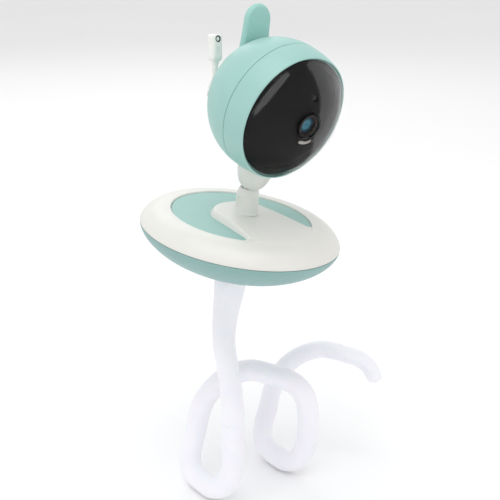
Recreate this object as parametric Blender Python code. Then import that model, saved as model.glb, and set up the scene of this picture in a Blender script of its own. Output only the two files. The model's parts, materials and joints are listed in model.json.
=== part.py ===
"""Baby monitor camera on a bendable arm that is wound around a cot rail.

Row frame: origin at the centre of the rail inside the winding, +X along the rail,
-Y towards the side that the camera looks to, +Z up.  All lengths are metres.
"""
import math

import bmesh
import bpy
from mathutils import Matrix, Vector

MM = 0.001

# Driving dimensions: head
HEAD_RADIUS = 40 * MM
HEAD_WALL = 2.6 * MM
HEAD_TILT = math.radians(12.1)
SEAM_FORWARD = 2 * MM               # split between the two head shells, ahead of the centre
COVER_PLANE = 17.1 * MM             # rim of the front cover, ahead of the centre
COVER_EDGE_RADIUS = 37.0 * MM
COVER_DOME_RADIUS = 45.67 * MM
COVER_POLE = 36 * MM
COVER_INSIDE_EDGE = 34.4 * MM       # bore of the cover's seat
RIM_FLARE = 1.75 * MM               # front shell outside the sphere at the cover's rim
COVER_WALL = 2 * MM
LENS_HEIGHT = 1.75 * MM             # lens axis above the head's centre
MASK_RADIUS = 40.2 * MM             # window mask, about the cover's centre
MASK_WALL = 1.2 * MM
BOARD_FRONT = 21.2 * MM             # front face of the infrared board, ahead of the centre
LIGHT_SENSOR_SPOT = Vector((0, 0, 18)) * MM

# Driving dimensions: rear of the head, spots in the head frame
INLET_HEIGHT = -24 * MM
BUTTON_SPOT = Vector((14, 0, 3.5)) * MM
GLAND_SPOT = Vector((-15.5, 0, -8)) * MM
SPEAKER_SPOT = Vector((6, 0, -9)) * MM
VENT_PITCH = 2.8 * MM

# Driving dimensions: antenna and temperature sensor
ANTENNA_HINGE = Vector((0, 29.2, 16.9)) * MM
ANTENNA_LEAN = math.radians(-12.1)
ANTENNA_SLOT = 11.6 * MM            # half the width of the slot in the rear shell
PIN_RADIUS = 1.2 * MM
TAIL_PIVOT_BACK = 41.7 * MM         # from the head's centre back to the tail's bend
PROBE_LOW = Vector((0, 1.8, 17.7)) * MM       # probe's lower end from the tail's pivot
PROBE_HIGH = Vector((0, 8.1, 32.2)) * MM
PROBE_SQUARENESS = 3.5

# Driving dimensions: neck and stem
PIVOT = Vector((0, -3.8, 25.6)) * MM          # ball centre in the base frame
HEAD_FROM_PIVOT = Vector((0, -1.8, 59.4)) * MM
BALL_RADIUS = 4.6 * MM
SOCKET_RADIUS = 4.9 * MM
DOME_RADIUS = 6.9 * MM
COLLAR_SLIDE_RADIUS = 7.3 * MM
SHANK_RADIUS = 2.0 * MM
SOCKET_MOUTH = 54                   # half angle of the socket's opening, in degrees

# Driving dimensions: base
BASE_HALF_WIDTH = 60 * MM
BASE_HALF_LENGTH = 67 * MM
BOWL_DEPTH = 24 * MM
BASE_WALL = 2.2 * MM
BASE_CENTRE = Vector((-30, 0, 142.4)) * MM
BASE_LEAN = (math.radians(4.5), math.radians(4.8), math.radians(9.4))
INLAY_SCALE = 0.70                  # inlay ellipse as a share of the base ellipse
INLAY_FLOOR = 8.5 * MM
INLAY_TOP = 9.6 * MM
TONGUE_TOP = 13.6 * MM
TONGUE_RADIUS = 17.5 * MM
TONGUE_BACK = -2 * MM               # centre of the tongue's round back end
TONGUE_FRONT = -52 * MM
TONGUE_FLARE = 5.5 * MM
TONGUE_FOOT = 3.5 * MM
BOSS_SPOT = (31 * MM, 35 * MM)      # screw bosses, mirrored into four corners

# Driving dimensions: bendable arm
COIL_HALF_DEPTH = 23 * MM
COIL_HALF_HEIGHT = 35.5 * MM
COIL_SQUARENESS = 3.0
COIL_START_X = -48.5 * MM
COIL_PITCH = 60 * MM
COIL_SWAY = (15.25 * MM, 9.25 * MM)
COIL_END_DEG = 712
ARM_RADIUS = 7.2 * MM
ARM_BORE = 2.3 * MM
CORE_RADIUS = 2.0 * MM
STUD_RADIUS = 3.0 * MM
ARM_TIP_RADIUS = 5.3 * MM
UPPER_BEND_HEIGHT = 99 * MM
LOWER_BEND_HEIGHT = 52 * MM
TAIL_LENGTH = 62 * MM               # free end beyond its bend

GAP = 0.3 * MM

# Hand-chosen route of the upright stretch, from the base's underside to the rail, with the
# sleeve's radius at each point: (x, y, z, radius) in the row frame
UPRIGHT_ROUTE = [
    (-35.4, 2.6, 106.0, 9.8), (-37.2, 2.6, 95.0, 8.9), (-39.4, 1.8, 85.0, 8.1),
    (-41.8, -0.2, 75.0, 7.5), (-43.4, -3.4, 66.0, 7.1), (-44.2, -8.0, 56.5, 6.9),
    (-45.0, -13.0, 45.8, 6.9), (-46.1, -18.0, 32.5, 7.0), (-47.3, -21.4, 18.5, 7.1),
]

SURFACES = {
    "mint_shell": ((0.42, 0.68, 0.64, 1), 0.45, 0.0),
    "mint_inlay": ((0.34, 0.61, 0.58, 1), 0.5, 0.0),
    "white_shell": ((0.86, 0.85, 0.82, 1), 0.4, 0.0),
    "neck_white": ((0.78, 0.80, 0.78, 1), 0.35, 0.0),
    "smoked_cover": ((0.012, 0.012, 0.014, 1), 0.06, 0.0),
    "lens_glass": ((0.02, 0.05, 0.09, 1), 0.02, 0.0),
    "black_plastic": ((0.02, 0.02, 0.022, 1), 0.4, 0.0),
    "circuit_board": ((0.03, 0.16, 0.09, 1), 0.5, 0.0),
    "led_clear": ((0.75, 0.72, 0.7, 1), 0.15, 0.0),
    "steel": ((0.6, 0.6, 0.61, 1), 0.3, 1.0),
    "brass": ((0.72, 0.53, 0.25, 1), 0.3, 1.0),
    "acetal": ((0.85, 0.84, 0.8, 1), 0.45, 0.0),
    "rubber": ((0.05, 0.05, 0.052, 1), 0.8, 0.0),
    "arm_silicone": ((0.88, 0.87, 0.9, 1), 0.5, 0.0),
    "sensor_white": ((0.86, 0.86, 0.84, 1), 0.35, 0.0),
}


def clear_scene():
    for old in list(bpy.data.objects):
        bpy.data.objects.remove(old, do_unlink=True)


def finish(name, kind):
    """One material for each sub-part, named after it, with the look of its kind."""
    colour, roughness, metallic = SURFACES[kind]
    material = bpy.data.materials.new(name + "_finish")
    material.use_nodes = True
    shader = material.node_tree.nodes["Principled BSDF"]
    shader.inputs["Base Color"].default_value = colour
    shader.inputs["Roughness"].default_value = roughness
    shader.inputs["Metallic"].default_value = metallic
    return material


def add_object(name, bm, kind, parent=None, location=(0, 0, 0)):
    """Close off a bmesh as a named, smooth-shaded object with its own material."""
    bmesh.ops.recalc_face_normals(bm, faces=bm.faces)
    mesh = bpy.data.meshes.new(name)
    bm.to_mesh(mesh)
    bm.free()
    mesh.shade_smooth()
    mesh.set_sharp_from_angle(angle=math.radians(35))
    obj = bpy.data.objects.new(name, mesh)
    bpy.context.scene.collection.objects.link(obj)
    obj.parent = parent
    obj.location = location
    if kind:
        mesh.materials.append(finish(name, kind))
    return obj


def add_empty(name, parent=None, location=(0, 0, 0), rotation=(0, 0, 0)):
    empty = bpy.data.objects.new(name, None)
    bpy.context.scene.collection.objects.link(empty)
    empty.parent = parent
    empty.location = location
    empty.rotation_euler = rotation
    return empty


def loft(rings, closed=False):
    """Skin rings of equal point count.  A closed loft joins its last ring to its first."""
    bm = bmesh.new()
    loops = [[bm.verts.new(point) for point in ring] for ring in rings]
    pairs = list(zip(loops, loops[1:]))
    if closed:
        pairs.append((loops[-1], loops[0]))
    for lower, upper in pairs:
        count = len(lower)
        for i in range(count):
            j = (i + 1) % count
            bm.faces.new((lower[i], lower[j], upper[j], upper[i]))
    if not closed:
        bm.faces.new(loops[0][::-1])
        bm.faces.new(loops[-1])
    return bm


def turn(profile, segments=24, axis="Z", centre=(0, 0, 0), closed=False):
    """Turn (radius, height) points about Z, or about the head's forward direction, -Y."""
    centre = Vector(centre)
    rings = []
    for radius, height in profile:
        ring = []
        for i in range(segments):
            angle = 2 * math.pi * i / segments
            u, v = radius * math.cos(angle), radius * math.sin(angle)
            point = Vector((u, v, height)) if axis == "Z" else Vector((u, -height, v))
            ring.append(centre + point)
        rings.append(ring)
    return loft(rings, closed)


def ellipse_stack(profile, segments=42, closed=False):
    """Stack ellipses of the base's outline: (scale, height) points."""
    rings = []
    for scale, height in profile:
        ring = []
        for i in range(segments):
            angle = 2 * math.pi * i / segments
            ring.append((BASE_HALF_WIDTH * scale * math.cos(angle),
                         BASE_HALF_LENGTH * scale * math.sin(angle), height))
        rings.append(ring)
    return loft(rings, closed)


def arc(radius, start_deg, end_deg, steps, height=0.0):
    """Points of a sphere's profile, angles counted from its pole."""
    points = []
    for i in range(steps + 1):
        angle = math.radians(start_deg + (end_deg - start_deg) * i / steps)
        points.append((radius * math.sin(angle), height + radius * math.cos(angle)))
    return points


def angle_at(radius, height):
    """Angle from the pole at which a sphere reaches a height, in degrees."""
    return math.degrees(math.acos(height / radius))


def box(low, high):
    bm = bmesh.new()
    bmesh.ops.create_cube(bm, size=1)
    low, high = Vector(low), Vector(high)
    size = high - low
    middle = (low + high) / 2
    for vert in bm.verts:
        vert.co = Vector(vert.co[i] * size[i] + middle[i] for i in range(3))
    return bm


def prism(outline, low, high):
    """Straight sides between two heights from a closed outline of (x, y) points."""
    return loft([[(x, y, low) for x, y in outline], [(x, y, high) for x, y in outline]])


def boolean(target, tool_bm, operation, name):
    """Cut or join a hidden tool body with a target."""
    tool = add_object(name, tool_bm, None, target.parent, target.location)
    tool.hide_render = True
    tool.display_type = "WIRE"
    modifier = target.modifiers.new(name, "BOOLEAN")
    modifier.object = tool
    modifier.operation = operation
    modifier.solver = "EXACT"
    return tool


def rounded(obj, width, segments=2):
    bevel = obj.modifiers.new("rounded_edges", "BEVEL")
    bevel.width = width
    bevel.segments = segments
    bevel.limit_method = "ANGLE"
    bevel.angle_limit = math.radians(40)


# ---------------------------------------------------------------- base

def base_outer_scale(depth):
    """Share of the base ellipse that the bowl keeps at a depth below the split."""
    return math.sqrt(1 - 0.84 * (depth / BOWL_DEPTH) ** 1.7)


def tongue_outline(grow, count=14):
    """Rounded U around the stem, widening towards the front rim."""
    radius = TONGUE_RADIUS + grow
    run = TONGUE_FRONT - TONGUE_BACK
    points = []
    for i in range(count + 1):
        angle = math.pi * i / count
        points.append((radius * math.cos(angle), TONGUE_BACK + radius * math.sin(angle)))
    for share in (0.25, 0.5, 0.75, 1.0):
        points.append((-radius - TONGUE_FLARE * share, TONGUE_BACK + run * share))
    for share in (1.0, 0.75, 0.5, 0.25):
        points.append((radius + TONGUE_FLARE * share, TONGUE_BACK + run * share))
    return points


def tongue_height(y):
    """Flat around the stem, then sloping down to the front rim."""
    flat_until, front_height = -12 * MM, 10.1 * MM
    share = min(max((flat_until - y) / (flat_until - TONGUE_FRONT), 0), 1)
    return TONGUE_TOP + (front_height - TONGUE_TOP) * share


def make_base(base):
    shell_profile = [
        (0.04, 6.3 * MM), (0.66, 6.3 * MM), (0.80, 6.3 * MM), (0.88, 4.6 * MM),
        (0.94, 2.2 * MM), (0.962, 0.15 * MM), (1.0, 0.15 * MM), (0.993, 1.6 * MM),
        (0.975, 3.3 * MM), (0.93, 6.0 * MM), (0.87, 8.4 * MM), (0.80, 10.0 * MM),
        (0.755, 10.5 * MM), (0.715, 10.3 * MM), (INLAY_SCALE, 9.8 * MM),
        (INLAY_SCALE, INLAY_FLOOR), (0.04, INLAY_FLOOR),
    ]
    top = add_object("base_top_shell", ellipse_stack(shell_profile), "white_shell", base)
    slope = 0.6 * MM
    tongue = loft([
        [(x, y, 7.4 * MM) for x, y in tongue_outline(TONGUE_FOOT)],
        [(x, y, INLAY_FLOOR + 0.4 * MM) for x, y in tongue_outline(TONGUE_FOOT)],
        [(x, y, tongue_height(y) - slope) for x, y in tongue_outline(slope)],
        [(x, y, tongue_height(y)) for x, y in tongue_outline(-slope)],
    ])
    boolean(top, tongue, "UNION", "tongue_body")
    screw_hole = turn([(2.4 * MM, 0), (2.4 * MM, 20 * MM)], 16, centre=(0, PIVOT.y, 0))
    boolean(top, screw_hole, "DIFFERENCE", "stem_screw_hole")

    inlay_edge = INLAY_SCALE - 0.006
    inlay = ellipse_stack([(inlay_edge, INLAY_FLOOR + GAP), (inlay_edge, INLAY_TOP - 0.2 * MM),
                           (inlay_edge - 0.01, INLAY_TOP)])
    inlay = add_object("base_inlay", inlay, "mint_inlay", base)
    opening = prism(tongue_outline(TONGUE_FOOT + GAP), 0, 20 * MM)
    boolean(inlay, opening, "DIFFERENCE", "inlay_opening")

    bowl_profile = []
    inner_steps = 6
    for i in range(inner_steps + 1):
        depth = 0.15 * MM + (BOWL_DEPTH - BASE_WALL - 0.15 * MM) * (1 - i / inner_steps)
        inner = base_outer_scale(depth + BASE_WALL * 0.75) - 0.034
        bowl_profile.append((inner, -depth))
    bowl_profile.insert(0, (0.04, bowl_profile[0][1]))
    outer_steps = 9
    for i in range(outer_steps + 1):
        depth = 0.15 * MM + (BOWL_DEPTH - 0.15 * MM) * i / outer_steps
        bowl_profile.append((base_outer_scale(depth), -depth))
    bowl_profile.append((0.04, -BOWL_DEPTH))
    bowl = add_object("base_bottom_shell", ellipse_stack(bowl_profile), "mint_shell", base)
    insert_hole = turn([(5.3 * MM, -30 * MM), (5.3 * MM, -18 * MM)], 20)
    boolean(bowl, insert_hole, "DIFFERENCE", "insert_hole")

    plate = ellipse_stack([(0.14, -14 * MM), (0.60, -14 * MM), (0.60, -10 * MM),
                           (0.14, -10 * MM)], 32, closed=True)
    add_object("base_weight", plate, "steel", base)
    insert = turn([(3.4 * MM, -23.6 * MM), (5.0 * MM, -23.6 * MM), (5.0 * MM, -21.4 * MM),
                   (7.0 * MM, -21.4 * MM), (7.0 * MM, -19.8 * MM), (5.0 * MM, -19.8 * MM),
                   (5.0 * MM, -11 * MM), (3.4 * MM, -11 * MM)], 20, closed=True)
    add_object("threaded_insert", insert, "brass", base)

    for i in range(3):
        angle = math.radians(90 + 120 * i)
        spot = (19 * MM * math.cos(angle), 19 * MM * math.sin(angle), 0)
        foot_pad = turn([(4 * MM, -24.3 * MM), (4 * MM, -25.4 * MM), (3.4 * MM, -25.9 * MM)],
                        20, centre=spot)
        add_object(f"rubber_foot_{i + 1}", foot_pad, "rubber", base)
    corners = [(sx * BOSS_SPOT[0], sy * BOSS_SPOT[1]) for sx in (-1, 1) for sy in (-1, 1)]
    for i, (x, y) in enumerate(corners):
        screw = turn([(2.7 * MM, -10.4 * MM), (2.7 * MM, -9 * MM), (1.5 * MM, -8.6 * MM),
                      (1.5 * MM, 3.6 * MM), (0.4 * MM, 4.8 * MM)], 10, centre=(x, y, 0))
        add_object(f"base_screw_{i + 1}", screw, "steel", base)


def make_stem(base):
    low = 13.9 * MM
    profile = [(2.4 * MM, low), (7.4 * MM, low), (7.15 * MM, 19 * MM)]
    profile += arc(DOME_RADIUS, 90, SOCKET_MOUTH - 2, 5, PIVOT.z)
    profile += arc(SOCKET_RADIUS, SOCKET_MOUTH, 90, 4, PIVOT.z)
    profile += [(SOCKET_RADIUS, 19 * MM), (2.4 * MM, 19 * MM)]
    centre = (0, PIVOT.y, 0)
    add_object("stem", turn(profile, 22, centre=centre, closed=True), "neck_white", base)
    screw = turn([(4.0 * MM, 3.6 * MM), (4.0 * MM, 5.7 * MM), (2.0 * MM, 6.0 * MM),
                  (2.0 * MM, 17.6 * MM), (1.4 * MM, 18.2 * MM)], 14, centre=centre)
    add_object("stem_screw", screw, "steel", base)


def make_ball_seat(pan_axis):
    """Acetal cup under the ball.  Its origin is the ball's centre."""
    rim, bore, floor = 4.5 * MM, 1.2 * MM, -6.3 * MM
    cup_angle = math.degrees(math.asin(rim / SOCKET_RADIUS))
    hole_angle = math.degrees(math.asin(bore / SOCKET_RADIUS))
    profile = arc(SOCKET_RADIUS, 180 - cup_angle, 180 - hole_angle, 3)
    profile += [(bore, floor), (rim, floor)]
    add_object("ball_seat", turn(profile, 20, closed=True), "acetal", pan_axis)


# ---------------------------------------------------------------- neck

def make_neck(head_pivot):
    """Collar, ball stud and its nut, turned about the neck's own axis through the ball."""
    bore = SHANK_RADIUS + GAP
    underside = []
    for radius in (bore, 3.9 * MM, 5.2 * MM):
        underside.append((radius, math.sqrt(COLLAR_SLIDE_RADIUS ** 2 - radius ** 2)))
    bowl = [(6.3 * MM, 5.9 * MM), (8.2 * MM, 8.2 * MM), (9.8 * MM, 11.4 * MM),
            (10.8 * MM, 15.2 * MM), (11.3 * MM, 18.6 * MM)]
    seat = []
    for radius in (11.3 * MM, 9 * MM, 6 * MM, bore):
        reach = HEAD_RADIUS + GAP
        side = -HEAD_FROM_PIVOT.y
        seat.append((radius, HEAD_FROM_PIVOT.z - math.sqrt(reach ** 2 - (radius - side) ** 2)
                     - 0.75 * MM * radius / (11.3 * MM)))
    profile = underside + bowl + seat
    add_object("neck_collar", turn(profile, 24, closed=True), "neck_white", head_pivot)

    ball = arc(BALL_RADIUS, 176, 32, 8)
    shank = [(SHANK_RADIUS, 4.6 * MM), (SHANK_RADIUS, 27.4 * MM), (1.6 * MM, 28 * MM)]
    add_object("ball_stud", turn(ball + shank, 20), "steel", head_pivot)
    nut_bore = bore / math.cos(math.pi / 6)
    nut = turn([(nut_bore, 23.6 * MM), (4.6 * MM, 23.6 * MM), (4.6 * MM, 26.6 * MM),
                (nut_bore, 26.6 * MM)], 6, closed=True)
    add_object("stud_nut", nut, "steel", head_pivot)


# ---------------------------------------------------------------- head shells

def make_head_shells(head):
    inner = HEAD_RADIUS - HEAD_WALL
    seam_front = SEAM_FORWARD + GAP / 2
    seam_rear = SEAM_FORWARD - GAP / 2
    seat_depth, shelf = 2.1 * MM, COVER_INSIDE_EDGE + 0.2 * MM
    front = []
    steps = 6
    for i in range(steps + 1):
        height = seam_front + (COVER_PLANE - seam_front) * i / steps
        flare = RIM_FLARE * (i / steps) ** 1.5
        front.append((math.sqrt(HEAD_RADIUS ** 2 - height ** 2) + flare, height))
    lip = COVER_EDGE_RADIUS + GAP
    front += [(lip, COVER_PLANE), (lip, COVER_PLANE - seat_depth),
              (shelf, COVER_PLANE - seat_depth), (shelf, COVER_PLANE - 4 * MM)]
    front += arc(inner, angle_at(inner, COVER_PLANE - 4 * MM), angle_at(inner, seam_front), 4)
    front_bm = turn(front, 38, "Y", closed=True)
    add_object("front_shell", front_bm, "mint_shell", head.parent, head.location)

    rear = arc(inner, 179, angle_at(inner, seam_rear), 9)
    rear += arc(HEAD_RADIUS, angle_at(HEAD_RADIUS, seam_rear), 179, 11)
    rear_bm = turn(rear, 38, "Y")
    shell = add_object("rear_shell", rear_bm, "mint_shell", head.parent, head.location)

    neck_y = -HEAD_FROM_PIVOT.y
    neck_hole = turn([(2.7 * MM, -44 * MM), (2.7 * MM, -32 * MM)], 16, centre=(0, neck_y, 0))
    boolean(shell, neck_hole, "DIFFERENCE", "neck_hole")
    slot = box((-ANTENNA_SLOT, 27.4 * MM, 14.4 * MM), (ANTENNA_SLOT, 46 * MM, 34 * MM))
    boolean(shell, slot, "DIFFERENCE", "antenna_slot")
    inlet = box((-4.9 * MM, 24 * MM, INLET_HEIGHT - 2.4 * MM),
                (4.9 * MM, 40 * MM, INLET_HEIGHT + 2.4 * MM))
    boolean(shell, inlet, "DIFFERENCE", "inlet_slot")
    button = turn([(3.8 * MM, -44 * MM), (3.8 * MM, -26 * MM)], 16, "Y", centre=BUTTON_SPOT)
    boolean(shell, button, "DIFFERENCE", "button_hole")
    gland = turn([(3.5 * MM, -44 * MM), (3.5 * MM, -26 * MM)], 16, "Y", centre=GLAND_SPOT)
    boolean(shell, gland, "DIFFERENCE", "gland_hole")
    for i in range(5):
        z = SPEAKER_SPOT.z + (i - 2) * VENT_PITCH
        half = (4.2 + 2.2 * (2 - abs(i - 2))) / 2 * 1.5 * MM
        vent = box((SPEAKER_SPOT.x - half, 30 * MM, z - 0.65 * MM),
                   (SPEAKER_SPOT.x + half, 44 * MM, z + 0.65 * MM))
        boolean(shell, vent, "DIFFERENCE", f"speaker_vent_{i + 1}")


def make_cover(head):
    """Smoked dome over the front of the head, seated on the front shell's shelf."""
    centre = COVER_POLE - COVER_DOME_RADIUS
    inner = COVER_DOME_RADIUS - COVER_WALL
    bottom = COVER_PLANE - 2.1 * MM + GAP
    outer_angle = math.degrees(math.asin(COVER_EDGE_RADIUS / COVER_DOME_RADIUS))
    inner_angle = math.degrees(math.asin(COVER_INSIDE_EDGE / inner))
    profile = arc(inner, 1, inner_angle, 6, centre)
    profile += [(COVER_INSIDE_EDGE, bottom), (COVER_EDGE_RADIUS, bottom)]
    profile += arc(COVER_DOME_RADIUS, outer_angle, 1, 7, centre)
    cover = turn(profile, 38, "Y")
    add_object("front_cover", cover, "smoked_cover", head.parent, head.location)


def status_slot(inner, outer, half_angle, low, high):
    """Arc-shaped bar concentric with the lens, centred straight below it."""
    outline = []
    steps = 10
    for radius, turn_way in ((outer, 1), (inner, -1)):
        for i in range(steps + 1):
            angle = math.radians(-90 + turn_way * half_angle * (2 * i / steps - 1))
            outline.append((radius * math.cos(angle), LENS_HEIGHT + radius * math.sin(angle)))
    return loft([[(x, -low, z) for x, z in outline], [(x, -high, z) for x, z in outline]])


def make_mask(head):
    """Black window mask close behind the cover, open for the lens and its neighbours."""
    centre = COVER_POLE - COVER_DOME_RADIUS
    inner = MASK_RADIUS - MASK_WALL
    edge = 33.5 * MM
    profile = arc(inner, 1, math.degrees(math.asin(edge / inner)), 6, centre)
    profile += arc(MASK_RADIUS, math.degrees(math.asin(edge / MASK_RADIUS)), 1, 6, centre)
    mask = add_turned("front_mask", "black_plastic", head, (0, 0, 0), profile, 32)
    lens = turn([(8.4 * MM, 20 * MM), (8.4 * MM, 40 * MM)], 28, "Y", (0, 0, LENS_HEIGHT))
    boolean(mask, lens, "DIFFERENCE", "mask_lens_hole")
    sensor = turn([(1.9 * MM, 15 * MM), (1.9 * MM, 40 * MM)], 14, "Y", LIGHT_SENSOR_SPOT)
    boolean(mask, sensor, "DIFFERENCE", "mask_sensor_hole")
    slot = status_slot(9.0 * MM, 11.3 * MM, 26, 20 * MM, 40 * MM)
    boolean(mask, slot, "DIFFERENCE", "mask_status_slot")


# ---------------------------------------------------------------- inside the head

def add_turned(name, kind, head, spot, profile, segments=16, closed=False):
    """A turned piece about the head's forward direction at a spot of the head frame."""
    bm = turn(profile, segments, "Y", spot, closed)
    return add_object(name, bm, kind, head.parent, head.location)


def add_block(name, kind, head, low, high):
    return add_object(name, box(low, high), kind, head.parent, head.location)


def make_optics(head):
    lens = (0, 0, LENS_HEIGHT)
    add_turned("lens_bezel", "black_plastic", head, lens,
               [(5.9 * MM, 25.9 * MM), (7.6 * MM, 25.9 * MM), (7.6 * MM, 27.6 * MM),
                (7.0 * MM, 28.3 * MM), (5.9 * MM, 28.0 * MM)], 28, closed=True)
    add_turned("lens_glass", "lens_glass", head, lens,
               [(5.6 * MM, 26.0 * MM), (5.6 * MM, 27.2 * MM), (4.2 * MM, 28.0 * MM),
                (2.2 * MM, 28.5 * MM), (0.4 * MM, 28.7 * MM)], 28)
    add_turned("lens_barrel", "black_plastic", head, lens,
               [(7.0 * MM, 10 * MM), (7.0 * MM, 25.6 * MM)], 24)
    add_block("image_sensor_board", "circuit_board", head,
              (-11 * MM, -9.6 * MM, LENS_HEIGHT - 11 * MM),
              (11 * MM, -8.4 * MM, LENS_HEIGHT + 11 * MM))

    hole, rim = 8.8 * MM, 22.6 * MM
    back = BOARD_FRONT - 1.2 * MM
    rings = []
    for radius, height, lift in ((hole, back, LENS_HEIGHT), (rim, back, 0),
                                 (rim, BOARD_FRONT, 0), (hole, BOARD_FRONT, LENS_HEIGHT)):
        ring = []
        for i in range(32):
            angle = 2 * math.pi * i / 32
            ring.append((radius * math.cos(angle), -height, lift + radius * math.sin(angle)))
        rings.append(ring)
    board = loft(rings, closed=True)
    add_object("infrared_board", board, "circuit_board", head.parent, head.location)
    for i in range(4):
        angle = math.radians(45 + 90 * i)
        spot = (17 * MM * math.cos(angle), 0, 17 * MM * math.sin(angle))
        add_turned(f"infrared_led_{i + 1}", "led_clear", head, spot,
                   [(2.4 * MM, BOARD_FRONT + GAP), (2.4 * MM, BOARD_FRONT + 1.4 * MM),
                    (1.2 * MM, BOARD_FRONT + 2.2 * MM)], 12)
    add_turned("light_sensor", "led_clear", head, LIGHT_SENSOR_SPOT,
               [(1.5 * MM, BOARD_FRONT + GAP), (1.5 * MM, 26.2 * MM), (0.9 * MM, 26.7 * MM)], 14)
    pipe = status_slot(9.4 * MM, 10.9 * MM, 22, BOARD_FRONT + GAP, 27.4 * MM)
    add_object("status_light_pipe", pipe, "led_clear", head.parent, head.location)
    add_turned("microphone", "steel", head, (0, 0, -18.5 * MM),
               [(2.0 * MM, BOARD_FRONT + GAP), (2.0 * MM, BOARD_FRONT + 1.4 * MM)], 14)


def make_electronics(head):
    chassis_hole, chassis_rim = 9 * MM, 32.5 * MM
    chassis = add_turned("inner_chassis", "black_plastic", head, (0, 0, 0),
                         [(chassis_hole, 4 * MM), (chassis_rim, 4 * MM),
                          (chassis_rim, 6 * MM), (chassis_hole, 6 * MM)], 32, closed=True)
    for i in range(3):
        angle = math.radians(99 + 120 * i)
        spot = Vector((27.5 * MM * math.cos(angle), 0, 27.5 * MM * math.sin(angle)))
        hole = turn([(1.8 * MM, 0), (1.8 * MM, 10 * MM)], 12, "Y", spot)
        boolean(chassis, hole, "DIFFERENCE", f"chassis_hole_{i + 1}")
        add_turned(f"head_screw_{i + 1}", "steel", head, spot,
                   [(2.7 * MM, 1.9 * MM), (2.7 * MM, 3.7 * MM), (1.4 * MM, 3.9 * MM),
                    (1.4 * MM, 12 * MM), (0.5 * MM, 13 * MM)], 12)
    add_turned("main_board", "circuit_board", head, (0, 0, 3 * MM),
               [(25 * MM, -7.4 * MM), (25 * MM, -6 * MM)], 32)
    add_block("wifi_shield", "steel", head, (-13 * MM, 7.7 * MM, 2 * MM),
              (3 * MM, 10 * MM, 15 * MM))
    add_turned("speaker", "black_plastic", head, SPEAKER_SPOT,
               [(7 * MM, -17 * MM), (7 * MM, -20 * MM), (10.5 * MM, -22 * MM),
                (10.5 * MM, -25.4 * MM), (9 * MM, -25.8 * MM)], 24)
    inlet = add_block("power_inlet", "steel", head,
                      (-4.5 * MM, 20 * MM, INLET_HEIGHT - 2 * MM),
                      (4.5 * MM, 31.4 * MM, INLET_HEIGHT + 2 * MM))
    mouth = box((-3.9 * MM, 24 * MM, INLET_HEIGHT - 1.4 * MM),
                (3.9 * MM, 36 * MM, INLET_HEIGHT + 1.4 * MM))
    boolean(inlet, mouth, "DIFFERENCE", "inlet_mouth")
    add_block("tact_switch", "black_plastic", head,
              (BUTTON_SPOT.x - 2.5 * MM, 26.4 * MM, BUTTON_SPOT.z - 2.5 * MM),
              (BUTTON_SPOT.x + 2.5 * MM, 29.6 * MM, BUTTON_SPOT.z + 2.5 * MM))


def make_button(head):
    """Pairing button in the rear shell.  Its origin lies on its own travel axis."""
    face = 37.9 * MM
    profile = [(4.6 * MM, -30.9 * MM), (4.6 * MM, -31.8 * MM), (1.8 * MM, -31.8 * MM),
               (1.8 * MM, -34.6 * MM), (3.5 * MM, -35.2 * MM), (3.5 * MM, -face + 0.6 * MM),
               (3.0 * MM, -face), (0.6 * MM, -face - 0.3 * MM)]
    bm = turn(profile, 20, "Y")
    add_object("pair_button", bm, "white_shell", head.parent, head.location + BUTTON_SPOT)


# ---------------------------------------------------------------- antenna and sensor

def make_antenna(head):
    """Paddle in the frame of its hinge: local +Z along the paddle, pin along X."""
    hinge = add_empty("antenna_hinge", head.parent, head.location + ANTENNA_HINGE,
                      (ANTENNA_LEAN, 0, 0))
    root_half, top_half, length, foot = 11.2 * MM, 9.3 * MM, 32.4 * MM, -2.9 * MM
    outline = [(-root_half, foot), (root_half, foot)]
    for i in range(13):
        angle = math.pi * i / 12
        outline.append((top_half * math.cos(angle),
                        length - top_half + top_half * math.sin(angle)))
    thickness = 2.3 * MM
    bm = loft([[(x, -thickness, z) for x, z in outline], [(x, thickness, z) for x, z in outline]])
    paddle = add_object("antenna_paddle", bm, "mint_shell", hinge)
    rounded(paddle, 1.3 * MM)
    bore = bmesh.new()
    bmesh.ops.create_cone(bore, cap_ends=True, segments=16, radius1=PIN_RADIUS + GAP,
                          radius2=PIN_RADIUS + GAP, depth=40 * MM,
                          matrix=Matrix.Rotation(math.pi / 2, 4, "Y"))
    boolean(paddle, bore, "DIFFERENCE", "pin_bore")

    pin = bmesh.new()
    bmesh.ops.create_cone(pin, cap_ends=True, segments=14, radius1=PIN_RADIUS,
                          radius2=PIN_RADIUS, depth=24.6 * MM,
                          matrix=Matrix.Rotation(math.pi / 2, 4, "Y"))
    pin_spot = head.location + ANTENNA_HINGE
    add_object("antenna_pin", pin, "steel", head.parent, pin_spot)

    ear = 2.4 * MM
    outer = ANTENNA_SLOT + ear
    cradle_bm = box((-outer, 23.6 * MM, 10.6 * MM), (outer, 36 * MM, 25 * MM))
    cradle = add_object("antenna_cradle", cradle_bm, "black_plastic", head.parent, head.location)
    pocket = box((-ANTENNA_SLOT, 25.6 * MM, 12.6 * MM), (ANTENNA_SLOT, 40 * MM, 30 * MM))
    boolean(cradle, pocket, "DIFFERENCE", "cradle_pocket")
    skin = turn(arc(HEAD_RADIUS - HEAD_WALL - GAP, 1, 179, 14), 32, "Y")
    boolean(cradle, skin, "INTERSECT", "cradle_limit")
    pin_hole = bmesh.new()
    bmesh.ops.create_cone(pin_hole, cap_ends=True, segments=14, radius1=PIN_RADIUS + GAP,
                          radius2=PIN_RADIUS + GAP, depth=30 * MM,
                          matrix=Matrix.Translation(ANTENNA_HINGE)
                          @ Matrix.Rotation(math.pi / 2, 4, "Y"))
    boolean(cradle, pin_hole, "DIFFERENCE", "cradle_pin_hole")


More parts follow.
